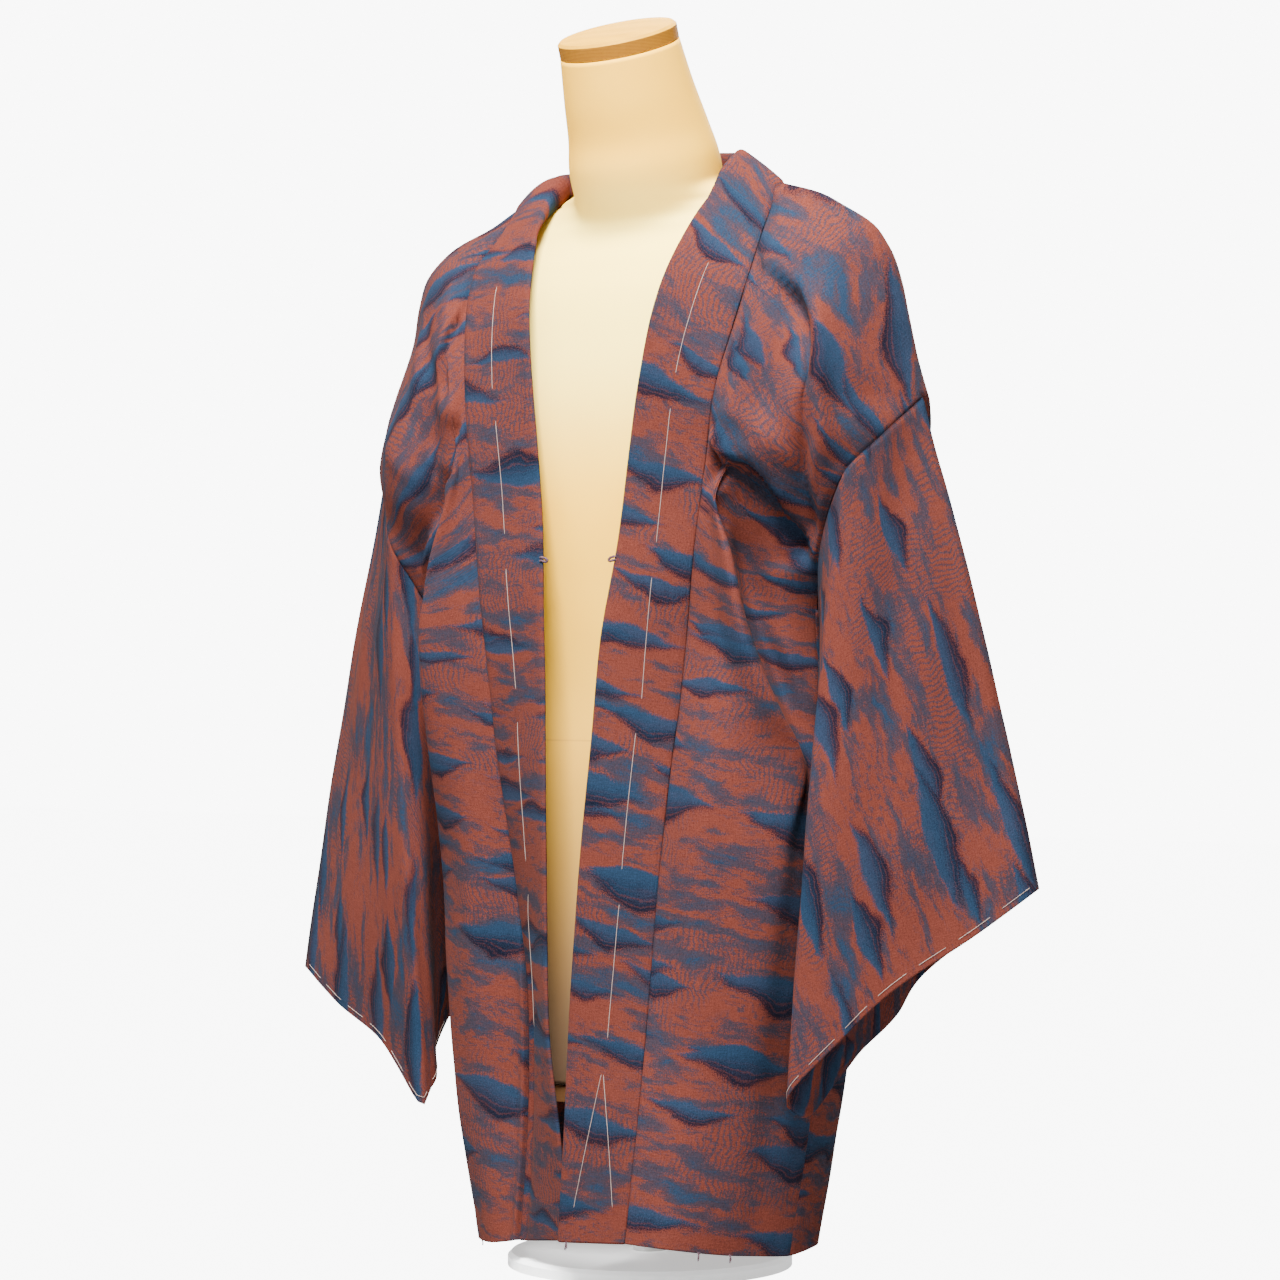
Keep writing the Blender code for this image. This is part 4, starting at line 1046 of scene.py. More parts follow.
def body_grids(side):
    """Front and back of one body half with all their folds, and their normals."""
    heights = row_heights(side)
    top = rows_between(side, ARMHOLE_TOP[side], NECK + 1)
    front = body_surface(side, "front", FRONT_ACROSS, heights)
    back = body_surface(side, "back", BACK_ACROSS, heights)
    end, strip = SOFT_ACROSS
    soft = smoothstep((end - FRONT_ACROSS[:, None]) / strip)
    front = relax(front, soft * bell(heights - SOFT_LEVEL[side], SOFT_HEIGHT))
    n_front, n_back = agreed_normals(side, front, back, top)
    open_rows = np.ones(len(heights))
    run_out = (heights[top] - ARMHOLE_TOP[side]) / SEAM_RUN_OUT
    open_rows[top] = np.clip(1 - run_out, 0, 1)
    calm = smoothstep((NECK - heights) / NECK_CALM)
    on_front = front_relief(side, front, heights, open_rows) * calm
    on_back = back_relief(back, heights, open_rows) * calm
    # the fold over the shoulder belongs to both, so both get the same height there
    both = (on_front[-1, top] + on_back[0, top]) / 2
    for relief, line in ((on_front, -1), (on_back, 0)):
        change = both - relief[line, top]
        near = bell(np.arange(len(relief)) - (line % len(relief)), FOLD_SHARING)
        relief[:, top] += near[:, None] * change[None]
    front = front + n_front * on_front[..., None]
    back = back + n_back * on_back[..., None]
    return front, back, n_front, n_back


def joined_numbers(front, back, joined):
    """Vertex numbers of both grids, which share the points of the fold."""
    front_index = numbered(front)
    back_index = numbered(back) + front_index.size
    back_index[0, joined] = front_index[-1, joined]
    keep = np.unique(np.concatenate([front_index.ravel(), back_index.ravel()]))
    number = np.zeros(keep.max() + 1, int)
    number[keep] = np.arange(len(keep))
    return number[front_index], number[back_index]


def final_normals(side, front, back, n_front, n_back, joined):
    """Normals of the folded cloth; the last rows by the neck keep the agreed ones."""
    normals = (smooth_rows(grid_normals(front) * SIGN[side]),
               smooth_rows(grid_normals(back) * SIGN[side]))
    normals[0][:, -3:] = n_front[:, -3:]
    normals[1][:, -3:] = n_back[:, -3:]
    blend = unit(normals[0][-1, joined] + normals[1][0, joined])
    normals[0][-1, joined] = normals[1][0, joined] = blend
    return normals


def build_body(side):
    """One body half: front and back share the points of the fold over the shoulder."""
    heights = row_heights(side)
    joined = rows_between(side, ARMHOLE_TOP[side], NECK + 1)
    front, back, n_front, n_back = body_grids(side)
    sheets[side, "front"] = front
    cuts = (body_cut(side, "front", front, heights), body_cut(side, "back", back, heights))
    if side == "right":
        for cut in cuts:
            cut[..., 0] = MIRROR_CUT - cut[..., 0]
    normals = final_normals(side, front, back, n_front, n_back, joined)
    patches = [Patch(*each) for each in zip((front, back), normals, cuts)]
    indices = joined_numbers(front, back, joined)
    piece = shell("haori_body_" + side, patches, indices, BODY_WALL, flip=side == "right")
    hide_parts("body_" + side)
    return piece


bodies = {side: build_body(side) for side in SIGN}

# %% [markdown]
# ## Side gussets
# A long narrow wedge is sewn between front and back, from the armhole to the hem. It
# lets the jacket fall straight over the hips.

# %% Gussets
GUSSET_SPAN = 55.0
GUSSET_BOW = 2.0         # the gusset's middle stands out by this much
GUSSET_CUT_AT = 2300.0   # where the gussets lie on the flat cut


def side_edges(side, rows):
    """Side edges of the front and of the back, at some of the rows."""
    heights = row_heights(side)
    front = body_surface(side, "front", FRONT_ACROSS[-2:], heights)[-1, rows]
    back = body_surface(side, "back", BACK_ACROSS[:2], heights)[0, rows]
    return front, back


def build_gusset(side):
    """The wedge between the two side edges, bowed out a little."""
    front, back = side_edges(side, rows_between(side, HEM, UNDERARM[side])[:-1])
    across = places_between(0.0, 1.0, GUSSET_COLUMNS, GUSSET_SPAN)
    share = across[:, None, None]
    bow = (4 * share * (1 - share)) * np.array([GUSSET_BOW * SIGN[side], 0, 0])
    points = front * (1 - share) + back * share + bow
    normals = grid_normals(points) * SIGN[side]
    relief = seam_dip(points, 0, 0, SEAM_DEPTH) + seam_dip(points, 0, -1, SEAM_DEPTH)
    points = points + normals * relief[..., None]
    width, length = arc(points, 0), arc(points, 1)
    middle = width[-1][None] / 2
    v = length[len(across) // 2][None] + np.zeros_like(width)
    patch = Patch(points, normals, np.stack([GUSSET_CUT_AT + (width - middle), v], axis=-1))
    piece = shell("haori_gusset_" + side, [patch], [numbered(points)], BODY_WALL,
                  flip=side == "right")
    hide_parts("gusset_" + side)
    return piece


gussets = {side: build_gusset(side) for side in SIGN}

# %% [markdown]
# ## Sleeves
# A sleeve is one strip, folded over the top of the arm. Its upper part is sewn into
# the armhole. Below that its inner edge stays open, and so does the whole mouth.
# The sleeve hangs as a soft tube that runs from the armhole to the ring of the mouth.

# %% Sleeves
SLEEVE_SPAN = 330.0
SLEEVE_CUT_AT = {"left": 1300.0, "right": 2000.0}    # where they lie on the flat cut
SLEEVE_ALONG = places_between(0.0, 1.0, SLEEVE_ROWS, SLEEVE_SPAN)


def sleeve_places():
    """Places round the sleeve, one for each row of the armhole seam and the slit."""
    above = np.linspace(0, FOLD_PLACE, ABOVE_FOLD_ROWS + 1)
    below = np.linspace(FOLD_PLACE, UNDERARM_PLACE, BELOW_FOLD_ROWS + 1)[1:]
    slit = np.linspace(UNDERARM_PLACE, 1 - UNDERARM_PLACE, SLIT_ROWS + 1)[1:-1]
    half = np.concatenate([above, below])
    return np.concatenate([half, slit, 1 - half[:0:-1]])


def sleeve_grid(side):
    """Points from the armhole and the slit to the mouth, and the places round them."""
    rows = rows_between(side, UNDERARM[side], ARMHOLE_TOP[side])[::-1]
    front, back = side_edges(side, rows)
    slit = np.linspace(0, 1, SLIT_ROWS + 1)[1:-1, None]
    low = np.array(FURI_LOW[side], float)
    low[0] *= SIGN[side]
    pull = 2 * low - (front[-1] + back[-1]) / 2
    under = front[-1] * (1 - slit) ** 2 + pull * 2 * slit * (1 - slit) + back[-1] * slit**2
    start = np.concatenate([front, under, back[:0:-1]])
    ring = np.array(WRIST_RINGS[side] + ((1.0,) + WRIST_RINGS[side][0][1:],), float)
    places = sleeve_places()
    end = through(ring[:, 0], ring[:, 1:], places)
    end[:, 0] *= SIGN[side]
    along = SLEEVE_ALONG[None, :, None]
    points = start[:, None] * (1 - along) + end[:, None] * along
    out = points - points.mean(axis=0, keepdims=True)
    out[..., 2] = 0
    turn = 2 * math.pi * places
    swell = np.maximum(np.abs(np.sin(turn)), np.cos(turn))[:, None, None]
    bow = SLEEVE_BOW * np.sin(math.pi * along) * swell * smoothstep(along * 4)
    return points + unit(out) * bow, places


def build_sleeve(side):
    """One sleeve; its flat cut is split along the inside, away from the eye."""
    points, places = sleeve_grid(side)
    normals = grid_normals(points, closed=True) * SIGN[side]
    relief = press(points, places, SLEEVE_ALONG, SLEEVE_CREASES[side])
    relief += seam_dip(points, 1, 0, SEAM_DEPTH) + even_waves(points, WAVE)
    points = points + normals * relief[..., None]
    sheets[side, "sleeve"] = points
    normals = grid_normals(points, closed=True) * SIGN[side]
    turn = int(np.argmin(np.abs(places - 0.5)))
    points, normals = np.roll(points, -turn, axis=0), np.roll(normals, -turn, axis=0)
    round_way = np.concatenate([points, points[:1]])
    v = arc(round_way, 0)
    top = (len(points) - turn) % len(points)
    v = v - v[top][None]
    u = arc(round_way, 1)
    cut = np.stack([u, v], axis=-1)
    cut = cut * np.array([SIGN[side], 1.0]) + np.array([SLEEVE_CUT_AT[side], 0.0])
    patch = Patch(points, normals, cut)
    piece = shell("haori_sleeve_" + side, [patch], [numbered(points)], BODY_WALL,
                  closed=True, flip=side == "right")
    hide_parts("sleeve_" + side)
    return piece


sleeves = {side: build_sleeve(side) for side in SIGN}

# %% [markdown]
# ## Collar
# The collar is one long strip, folded along its length and sewn to both fronts and
# round the nape, where it is turned down. It is thicker than the body cloth, so it
# stands a little proud of its seam. Its inner edge is a fold and stays rounded.

# %% Collar
COLLAR_WIDTH = 62.0
COLLAR_LIFT = 1.0        # the collar stands this much proud, and rounds off over:
COLLAR_ROUND = 3.0
COLLAR_WAVE = 0.35
COLLAR_CUT_AT = 3000.0   # where the collar lies on the flat cut
TUCKED_IN = 9.0          # how far the right end of the collar goes in behind the left
TUCKED_FROM = 190.0      # from this height down,
TUCKED_OVER = 130.0      # growing over this height
BEHIND_LIP = 4.5         # the collar's low end lies this much behind the rolled lip,
BEHIND_REACH = 14.0      # as far as this from its seam
CURL_POINTS = 16
FALL_POINTS = 17
COLLAR_ACROSS = places_between(0.0, 1.0, COLLAR_COLUMNS, COLLAR_WIDTH)


def band(outer, crest, turn, bulge):
    """Collar points across each station, from its inner edge to its seam edge."""
    up = np.array([0.0, 0.0, 1.0])
    points = np.empty((len(COLLAR_ACROSS), len(outer), 3))
    for k in range(len(outer)):
        turned_share = turn[k] / TURN_AT_NAPE
        roll = ROLL_RADIUS * turned_share
        fall = outer[k] - crest[k]
        out = unit(fall * np.array([1.0, 1.0, 0.0]))
        hinge = crest[k] - up * roll
        end = math.atan2(fall @ out, -fall @ up)
        bends = np.linspace(math.pi, end, CURL_POINTS)[:, None]
        curl = hinge + (out * np.cos(bends) + up * np.sin(bends)) * roll
        along = np.linspace(0, 1, FALL_POINTS)[1:, None]
        rounded = up * bulge[k] * turned_share * 4 * along * (1 - along)
        line = np.concatenate([
            [curl[0] - up * turn[k]],
            curl if roll > 0.01 else curl[:1],
            curl[-1] + (outer[k] - curl[-1]) * along + rounded,
        ])
        reach = arc(line)
        for axis in range(3):
            points[:, k, axis] = np.interp(COLLAR_ACROSS * reach[-1], reach, line[:, axis])
    return points


def collar_front(side):
    """The collar's part along one front, from the hem to the neck."""
    heights = row_heights(side)
    outer = body_surface(side, "front", FRONT_ACROSS[:2], heights)[0]
    rows = np.array(INNER_EDGE[side], float)
    crest = through(rows[:, 0], rows[:, 1:], heights)
    crest[:, 0] *= SIGN[side]
    if side == "right":
        crest[:, 0] += TUCKED_IN * smoothstep((TUCKED_FROM - heights) / TUCKED_OVER)
    turn = smoothstep((heights - TURN_STARTS) / (NECK - TURN_STARTS)) * TURN_AT_NAPE
    return band(outer, crest, turn, np.full(len(turn), FALL_BULGE[side]))


def collar_nape():
    """The collar's part round the back of the neck, from the left front to the right."""
    left = body_surface("left", "back", BACK_ACROSS, row_heights("left"))[:, -1]
    right = body_surface("right", "back", BACK_ACROSS, row_heights("right"))[:, -1]
    outer = np.concatenate([left, right[-2::-1]])
    stations = np.linspace(0, 1, len(outer) + 2)[1:-1]
    crest = through(np.linspace(0, 1, len(NAPE_CREST)), NAPE_CREST, stations)
    bulge = np.linspace(FALL_BULGE["left"], FALL_BULGE["right"], len(outer))
    return band(outer, crest, np.full(len(outer), TURN_AT_NAPE), bulge)


def build_collar():
    """The whole collar as one band."""
    left, right = collar_front("left"), collar_front("right")
    points = np.concatenate([left, collar_nape(), right[:, ::-1]], axis=1)
    normals = grid_normals(points)
    to_seam = arc_back(points)
    edge = np.minimum(arc(points), to_seam)
    relief = COLLAR_LIFT * smoothstep(edge / COLLAR_ROUND) + even_waves(points, COLLAR_WAVE)
    right_end = low_rows(points[-1, :, 2]) * (np.arange(points.shape[1]) > left.shape[1])
    behind = (1 - bell(to_seam, LIP_START)) * bell(to_seam, BEHIND_REACH)
    relief -= BEHIND_LIP * behind * right_end
    points = points + normals * relief[..., None]
    normals = grid_normals(points)
    length = arc(points, 1)[len(points) // 2]
    v = length[None] + np.zeros(points.shape[:2])
    cut = np.stack([COLLAR_CUT_AT + arc(points), v], axis=-1)
    sheets["collar"] = points
    sheets["collar_normals"] = normals
    patch = Patch(points, normals, cut)
    piece = shell("haori_collar", [patch], [numbered(points)], COLLAR_WALL)
    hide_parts("collar")
    return piece


collar = build_collar()

# %% [markdown]
# ## The dress form
# The form has no arms and no head: a torso that narrows at the waist and a neck that
# leans forward. The cloth rests on its shoulders. Rings of the torso and of the neck
# are read finely and merged with a power sum, a soft way to take the larger radius,
# which rounds the join between them.

# %% Form tables
# Rings of the torso: height, half width, depth to the front, depth to the back and
# roundness (2 is an ellipse, less is more pointed).
TORSO_RINGS = (
    (140, 137, 78, 98, 2.2),
    (215, 142, 80, 102, 2.2),
    (290, 144, 79, 104, 2.2),
    (365, 136, 77, 100, 2.2),
    (430, 122, 73, 92, 2.1),
    (500, 122, 78, 93, 2.1),
    (560, 134, 84, 99, 2.1),
    (610, 146, 86, 103, 2.1),
    (650, 160, 85, 105, 2.0),
    (700, 182, 77, 103, 1.8),
    (735, 193, 67, 97, 1.65),
    (754, 197, 57, 92, 1.55),
    (764, 191, 51, 88, 1.5),
    (776, 177, 44, 82, 1.42),
    (786, 159, 38, 76, 1.4),
    (796, 138, 30, 68, 1.35),
    (806, 84, 26, 54, 1.5),
)
# Rings of the neck: height of the centre, centre y, radius and forward tilt (degrees).
NECK_RINGS = (
    (735, 18, 30, 0),
    (764, 12, 42, 2),
    (793, 5, 52, 6),
    (815, -1, 57, 10),
    (835, -8, 57.5, 14),
    (858, -17, 53.5, 18),
    (885, -30, 49.5, 20),
    (917, -43, 45.5, 21),
)
TORSO_TOP = 806.0        # above this the ring is the neck alone
MERGE_POWER = 6.0        # sharpness of the join between the shoulders and the neck
FORM_AROUND = 144
FORM_RIM = 4.0           # rounding of the lower edge
RIM_RINGS = 6
OUTLINE_ROUNDS = 40      # steps in which a ring's outline is found
NECK_EASE = 14.0         # the last of the shoulders fades out over this height
SHOULDER_EASE = 4.6      # the shoulders' tops stay this much further under the cloth
EASE_FROM = 755.0        # from this height up, growing over the next
EASE_OVER = 30.0
EASE_REACH = 20.0        # all of it where the form is this much wider than its neck
TILT_FROM = 764.0        # the rings lean forward from here, over the next
TILT_OVER = 42.0
CORE_RADIUS = 1.0        # the neck's ring below its table, where it no longer counts
CORE_FROM = 600.0        # the rings' centre starts to move back at this height
TOP_CENTRE = 1.4         # and this is where it is at the shoulders' top
BODY_LEVELS = 46         # rings of the torso, of the shoulders and of the neck
SHOULDER_LEVELS = 44
NECK_LEVELS = 26
NECK_FOOT = 840.0        # the shoulders' rings end here
print("rings in the form's tables:", len(TORSO_RINGS) + len(NECK_RINGS))

# %% Building the form


def torso_radius(ring, angles, centre):
    """Distance from (0, centre) to the ring's outline, in each direction."""
    half_width, front, back, power = ring
    radius = np.full(len(angles), 50.0)
    for _ in range(OUTLINE_ROUNDS):
        x = radius * np.cos(angles)
        y = radius * np.sin(angles) + centre
        depth = np.where(y < 0, front, back)
        value = np.abs(x / half_width) ** power + np.abs(y / depth) ** power
        radius = radius * np.maximum(value, 1e-6) ** (-0.5 / power)
    return radius


def form_ring(z, angles):
    """One ring of the form: centre, radius in each direction and forward tilt."""
    torso = np.array(TORSO_RINGS, float)
    neck = np.array(NECK_RINGS, float)
    ring = through(torso[:, 0], torso[:, 1:], min(z, TORSO_TOP))[0]
    centre, thick, tilt = through(neck[:, 0], neck[:, 1:], max(z, neck[0, 0]))[0]
    if z < neck[0, 0]:
        centre = centre * max(0.0, (z - CORE_FROM) / (neck[0, 0] - CORE_FROM))
        thick = CORE_RADIUS
        tilt = 0.0
    shoulders = torso_radius(ring, angles, centre if z < TORSO_TOP else TOP_CENTRE)
    fade = 1 - smoothstep((z - TORSO_TOP) / NECK_EASE)
    merged = (shoulders**MERGE_POWER + thick**MERGE_POWER) ** (1 / MERGE_POWER)
    eased = SHOULDER_EASE * smoothstep((z - EASE_FROM) / EASE_OVER)
    merged = merged - eased * np.clip((merged - thick) / EASE_REACH, 0, 1)
    radius = thick + (merged - thick) * fade
    return centre, radius, tilt * smoothstep((z - TILT_FROM) / TILT_OVER)


def form_points():
    """All rings of the form, from the rounded lower edge to the neck's top."""
    angles = np.linspace(0, 2 * math.pi, FORM_AROUND, endpoint=False)
    low, top, neck_low = TORSO_RINGS[0][0], NECK_RINGS[-1][0], NECK_RINGS[0][0]
    levels = np.concatenate([
        np.linspace(low + FORM_RIM, neck_low, BODY_LEVELS),
        np.linspace(neck_low, NECK_FOOT, SHOULDER_LEVELS)[1:],
        np.linspace(NECK_FOOT, top, NECK_LEVELS)[1:],
    ])
    rings = []
    for turn in np.linspace(0, math.pi / 2, RIM_RINGS)[:-1]:
        centre, radius, _ = form_ring(low + FORM_RIM, angles)
        drawn = radius - FORM_RIM * (1 - math.sin(turn))
        rings.append((centre, drawn, low + FORM_RIM * (1 - math.cos(turn)), 0.0))
    for z in levels:
        centre, radius, tilt = form_ring(z, angles)
        rings.append((centre, radius, z, tilt))
    points = []
    for centre, radius, z, tilt in rings:
        lean = math.radians(tilt)
        forward = radius * np.sin(angles)
        points.append(np.stack([radius * np.cos(angles), centre + forward * math.cos(lean),
                                z + forward * math.sin(lean)], axis=-1))
    return np.stack(points)


def tube_faces(rings):
    """Quads round a stack of rings of points, and one face that closes each end."""
    number = numbered(rings)
    following = np.roll(number, -1, axis=1)
    sides = np.stack([number[:-1], following[:-1], following[1:], number[1:]], axis=-1)
    faces = [tuple(f) for f in sides.reshape(-1, 4).tolist()]
    return faces + [tuple(number[0, ::-1].tolist()), tuple(number[-1].tolist())]


def build_form():
    """The form as one closed mesh; its flat ends aren't smoothed."""
    points = form_points()
    faces = tube_faces(points)
    piece = add_mesh("dress_form", (points.reshape(-1, 3) * MM).tolist(), faces,
                     smooth=[len(f) == 4 for f in faces])
    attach(piece, "root")
    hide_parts("form_torso")
    print("dress_form has", len(faces), "faces")
    return piece


dress_form = build_form()

# %% [markdown]
# ## Basting threads and small things
# A new haori keeps its long white basting stitches: down the middle of the collar
# and round the sleeve mouths. Each stitch is a fine round thread that lies on the
# cloth and dips into it at both ends. Two tiny loops for the jacket's tie stand on
# the collar's inner edge, and a few thread ends hang from the hem.

# %% Round threads
THREAD_RADIUS = 0.24
THREAD_SIDES = 6
PLY_LOBES = 0.22         # a twisted cord is this much thicker across its two plies
STITCH_POINTS = 26
STITCH_DIP = 1.1         # how deep a stitch's ends go into the cloth
DIP_SHARE = 22           # each dip takes about one part in this many of the stitch


def thread_tube(line, radius, twist=0.0):
    """Rings of a round thread along a line of points, and the faces between them."""
    line = np.asarray(line, float)
    ahead = unit(np.gradient(line, axis=0))
    upright = np.where(np.abs(ahead[:, 2:]) > 0.9, [[1.0, 0, 0]], [[0, 0, 1.0]])
    side_way = unit(np.cross(ahead, upright))
    up_way = np.cross(side_way, ahead)
    angle = np.linspace(0, 2 * math.pi, THREAD_SIDES, endpoint=False)
    turn = angle[None] + twist * np.arange(len(line))[:, None]
    lobes = radius * (1 + PLY_LOBES * (twist != 0) * np.cos(2 * angle))[None]
    ring = side_way[:, None] * (np.cos(turn) * lobes)[..., None]
    ring = ring + up_way[:, None] * (np.sin(turn) * lobes)[..., None]
    points = line[:, None] + ring
    return points.reshape(-1, 3), tube_faces(points)


def thread_object(name, lines, radius=THREAD_RADIUS, twist=0.0):
    """One mesh that joins many threads."""
    vertices, faces = [], []
    for line in lines:
        points, own = thread_tube(line, radius, twist)
        start = len(vertices)
        vertices += (points * MM).tolist()
        faces += [tuple(v + start for v in face) for face in own]
    piece = add_mesh(name, vertices, faces)
    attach(piece, "root")
    print(name, "joins", len(lines), "threads")
    return piece


def stitch(points, normals):
    """A thread that lies on the cloth and dips into it at both ends."""
    share = np.linspace(0, 1, len(points))
    rise = THREAD_RADIUS * 0.8 - STITCH_DIP * bell(np.minimum(share, 1 - share) * DIP_SHARE)
    return points + normals * rise[:, None]


# %% Basting on the collar
# Each stitch: its ends as (share across the collar, height).
COLLAR_STITCHES = {
    "left": (
        ((0.47, 738), (0.475, 695), (0.48, 655)),
        ((0.485, 640), (0.50, 588), (0.52, 534)),
        ((0.515, 519), (0.54, 470), (0.56, 422)),
        ((0.535, 407), (0.54, 352), (0.545, 298)),
        ((0.55, 283), (0.54, 230), (0.53, 176)),
        ((0.495, 160), (0.35, 105), (0.21, 50)),
        ((0.495, 160), (0.65, 106), (0.81, 52)),
    ),
    "right": (
        ((0.52, 742), (0.55, 691), (0.57, 652)),
        ((0.55, 636), (0.54, 590), (0.54, 543)),
        ((0.55, 527), (0.52, 478), (0.49, 428)),
        ((0.49, 414), (0.52, 357), (0.55, 300)),
        ((0.53, 284), (0.62, 253), (0.68, 176)),
    ),
}


def collar_stitches(side):
    """The stitches down one front's collar, each a line on the cloth."""
    grid, normals = sheets["collar"], sheets["collar_normals"]
    if side == "right":
        grid, normals = grid[:, ::-1], normals[:, ::-1]
    heights = row_heights(side)
    grid, normals = grid[:, :len(heights)], normals[:, :len(heights)]
    lines = []
    for path in COLLAR_STITCHES[side]:
        marks = np.linspace(0, 1, len(path))
        read = through(marks, path, np.linspace(0, 1, STITCH_POINTS))
        on = [grid_place(grid, COLLAR_ACROSS, heights, c, r) for c, r in read]
        up = [grid_place(normals, COLLAR_ACROSS, heights, c, r) for c, r in read]
        lines.append(stitch(np.array(on), unit(np.array(up))))
    return lines


bastings = [thread_object("basting_collar_" + s, collar_stitches(s)) for s in SIGN]

# %% Basting round the sleeve mouths
MOUTH_INSET = 5.0                                  # mm in from the mouth's edge
FIRST_STITCH = 6.0
LAST_ROOM = 34.0                                   # a stitch needs this much room
MOUTH_STITCH_POINTS = 14
STITCH_LENGTHS = (28, 31, 26, 29, 25, 30, 27)      # mm, used in turn
STITCH_GAP = 8.0


def mouth_stitches(side):
    """The stitches round one sleeve's mouth, one after another with even gaps."""
    points = sheets[side, "sleeve"]
    normals = grid_normals(points, closed=True) * SIGN[side]
    from_mouth = arc_back(points, 1)
    ring, facing = [], []
    for k in range(len(points)):
        row = np.interp(-MOUTH_INSET, -from_mouth[k], np.arange(points.shape[1]))
        ring.append(grid_place(points[k:k + 1].repeat(2, 0), (0, 1),
                               np.arange(points.shape[1]), 0, row))
        facing.append(normals[k, int(row)])
    ring, facing = np.array(ring + ring[:1]), np.array(facing + facing[:1])
    reach = arc(ring)
    lines = []
    start = FIRST_STITCH
    count = 0
    while start + LAST_ROOM < reach[-1]:
        end = start + STITCH_LENGTHS[count % len(STITCH_LENGTHS)]
        marks = np.linspace(start, end, MOUTH_STITCH_POINTS)
        on = np.stack([np.interp(marks, reach, ring[:, a]) for a in range(3)], axis=-1)
        up = np.stack([np.interp(marks, reach, facing[:, a]) for a in range(3)], axis=-1)
        lines.append(stitch(on, unit(up)))
        start = end + STITCH_GAP
        count += 1
    return lines


bastings += [thread_object("basting_mouth_" + s, mouth_stitches(s)) for s in SIGN]

# %% Tie loops
LOOP_HEIGHT = 533.0
LOOP_LENGTH = 5.0        # how far a loop stands out of the edge
LOOP_ROOT = 1.5          # and how deep its ends go in
LOOP_HALF = 2.0
LOOP_CORD = 0.95
LOOP_POINTS = 40


def tie_loop(side):
    """A small loop of twisted cord, both ends sewn into the collar's inner edge."""
    rows = np.array(INNER_EDGE[side], float)
    edge = through(rows[:, 3], rows[:, 1:3], LOOP_HEIGHT)[0]
    t = np.linspace(0, 1, LOOP_POINTS)
    out = -LOOP_ROOT + (LOOP_LENGTH + LOOP_ROOT) * np.sin(math.pi * t) ** 0.8
    spread = LOOP_HALF * np.cos(math.pi * t) * (0.55 + 0.45 * np.sin(math.pi * t))
    x = SIGN[side] * (edge[0] - out)
    y = edge[1] - 0.5 + 0.0 * t
    z = LOOP_HEIGHT + spread - 0.25 * np.maximum(out, 0)
    loop = thread_object("tie_loop_cord_" + side, [np.stack([x, y, z], axis=-1)],
                         radius=LOOP_CORD, twist=0.5)
    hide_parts("tie_loop_" + side)
    return loop


loops = [tie_loop(side) for side in SIGN]

# %% Thread ends at the hem
# Each end: side, place across the front, how far it hangs and drifts sideways in mm.
HEM_ENDS = (
    ("left", 0.32, 5.0, 1.0),
    ("left", 0.33, 6.5, -1.4),
    ("left", 0.45, 4.5, 1.6),
    ("left", 0.46, 6.0, -0.6),
    ("right", 0.40, 4.5, 1.2),
)
COLLAR_ENDS = ((5.0, 0.8), (6.0, -1.0))      # the same for the left collar's low end
COLLAR_END_COLUMN = 6
LOOSE_END_RADIUS = 0.45


def hem_ends():
    """Thread ends that hang from the fronts and from the left end of the collar."""
    lines = []
    t = np.linspace(0, 1, 8)[:, None]
    for side, across, drop, drift in HEM_ENDS:
        grid = sheets[side, "front"]
        start = grid_place(grid, FRONT_ACROSS, row_heights(side), across, HEM + 0.5)
        fall = np.array([drift, -0.4, -drop])
        lines.append(start + t * fall + np.sin(t * math.pi) * np.array([drift * 0.6, 0, 0]))
    for drop, drift in COLLAR_ENDS:
        collar_end = sheets["collar"][COLLAR_END_COLUMN, 0]
        lines.append(collar_end + t * np.array([drift, -0.3, -drop]))
    return lines


loose_ends = thread_object("hem_thread_ends", hem_ends(), radius=LOOSE_END_RADIUS)

# %% [markdown]
# ## Node groups for the finishes
# A shader effect that several materials share is built once, as a group with named
# sockets. The groups here give a woven surface, a cloth print and a wood grain. They
# put out colours, masks and heights only. The shader itself stays in each material.

# %% An empty group


def new_group(name, sockets, results):
    """An empty node group with named inputs and outputs."""
    tree = bpy.data.node_groups.new(name, "ShaderNodeTree")
    for label, kind, value in sockets:
        socket = tree.interface.new_socket(label, in_out="INPUT", socket_type=kind)
        if value is not None:
            socket.default_value = value
    for label, kind in results:
        tree.interface.new_socket(label, in_out="OUTPUT", socket_type=kind)
    start = tree.nodes.new("NodeGroupInput")
    end = tree.nodes.new("NodeGroupOutput")
    return Graph(tree), start.outputs, end.inputs


FLOAT, COLOUR, VECTOR = "NodeSocketFloat", "NodeSocketColor", "NodeSocketVector"

# %% [markdown]
# ## Woven surface
# The cloth is a plain weave of slightly uneven yarns. Two crossing ripples give the
# over and under. Soft noise along both thread directions gives the slubs, and a fine
# speckle stands for yarns that took the dye unevenly.

# %% Weave group


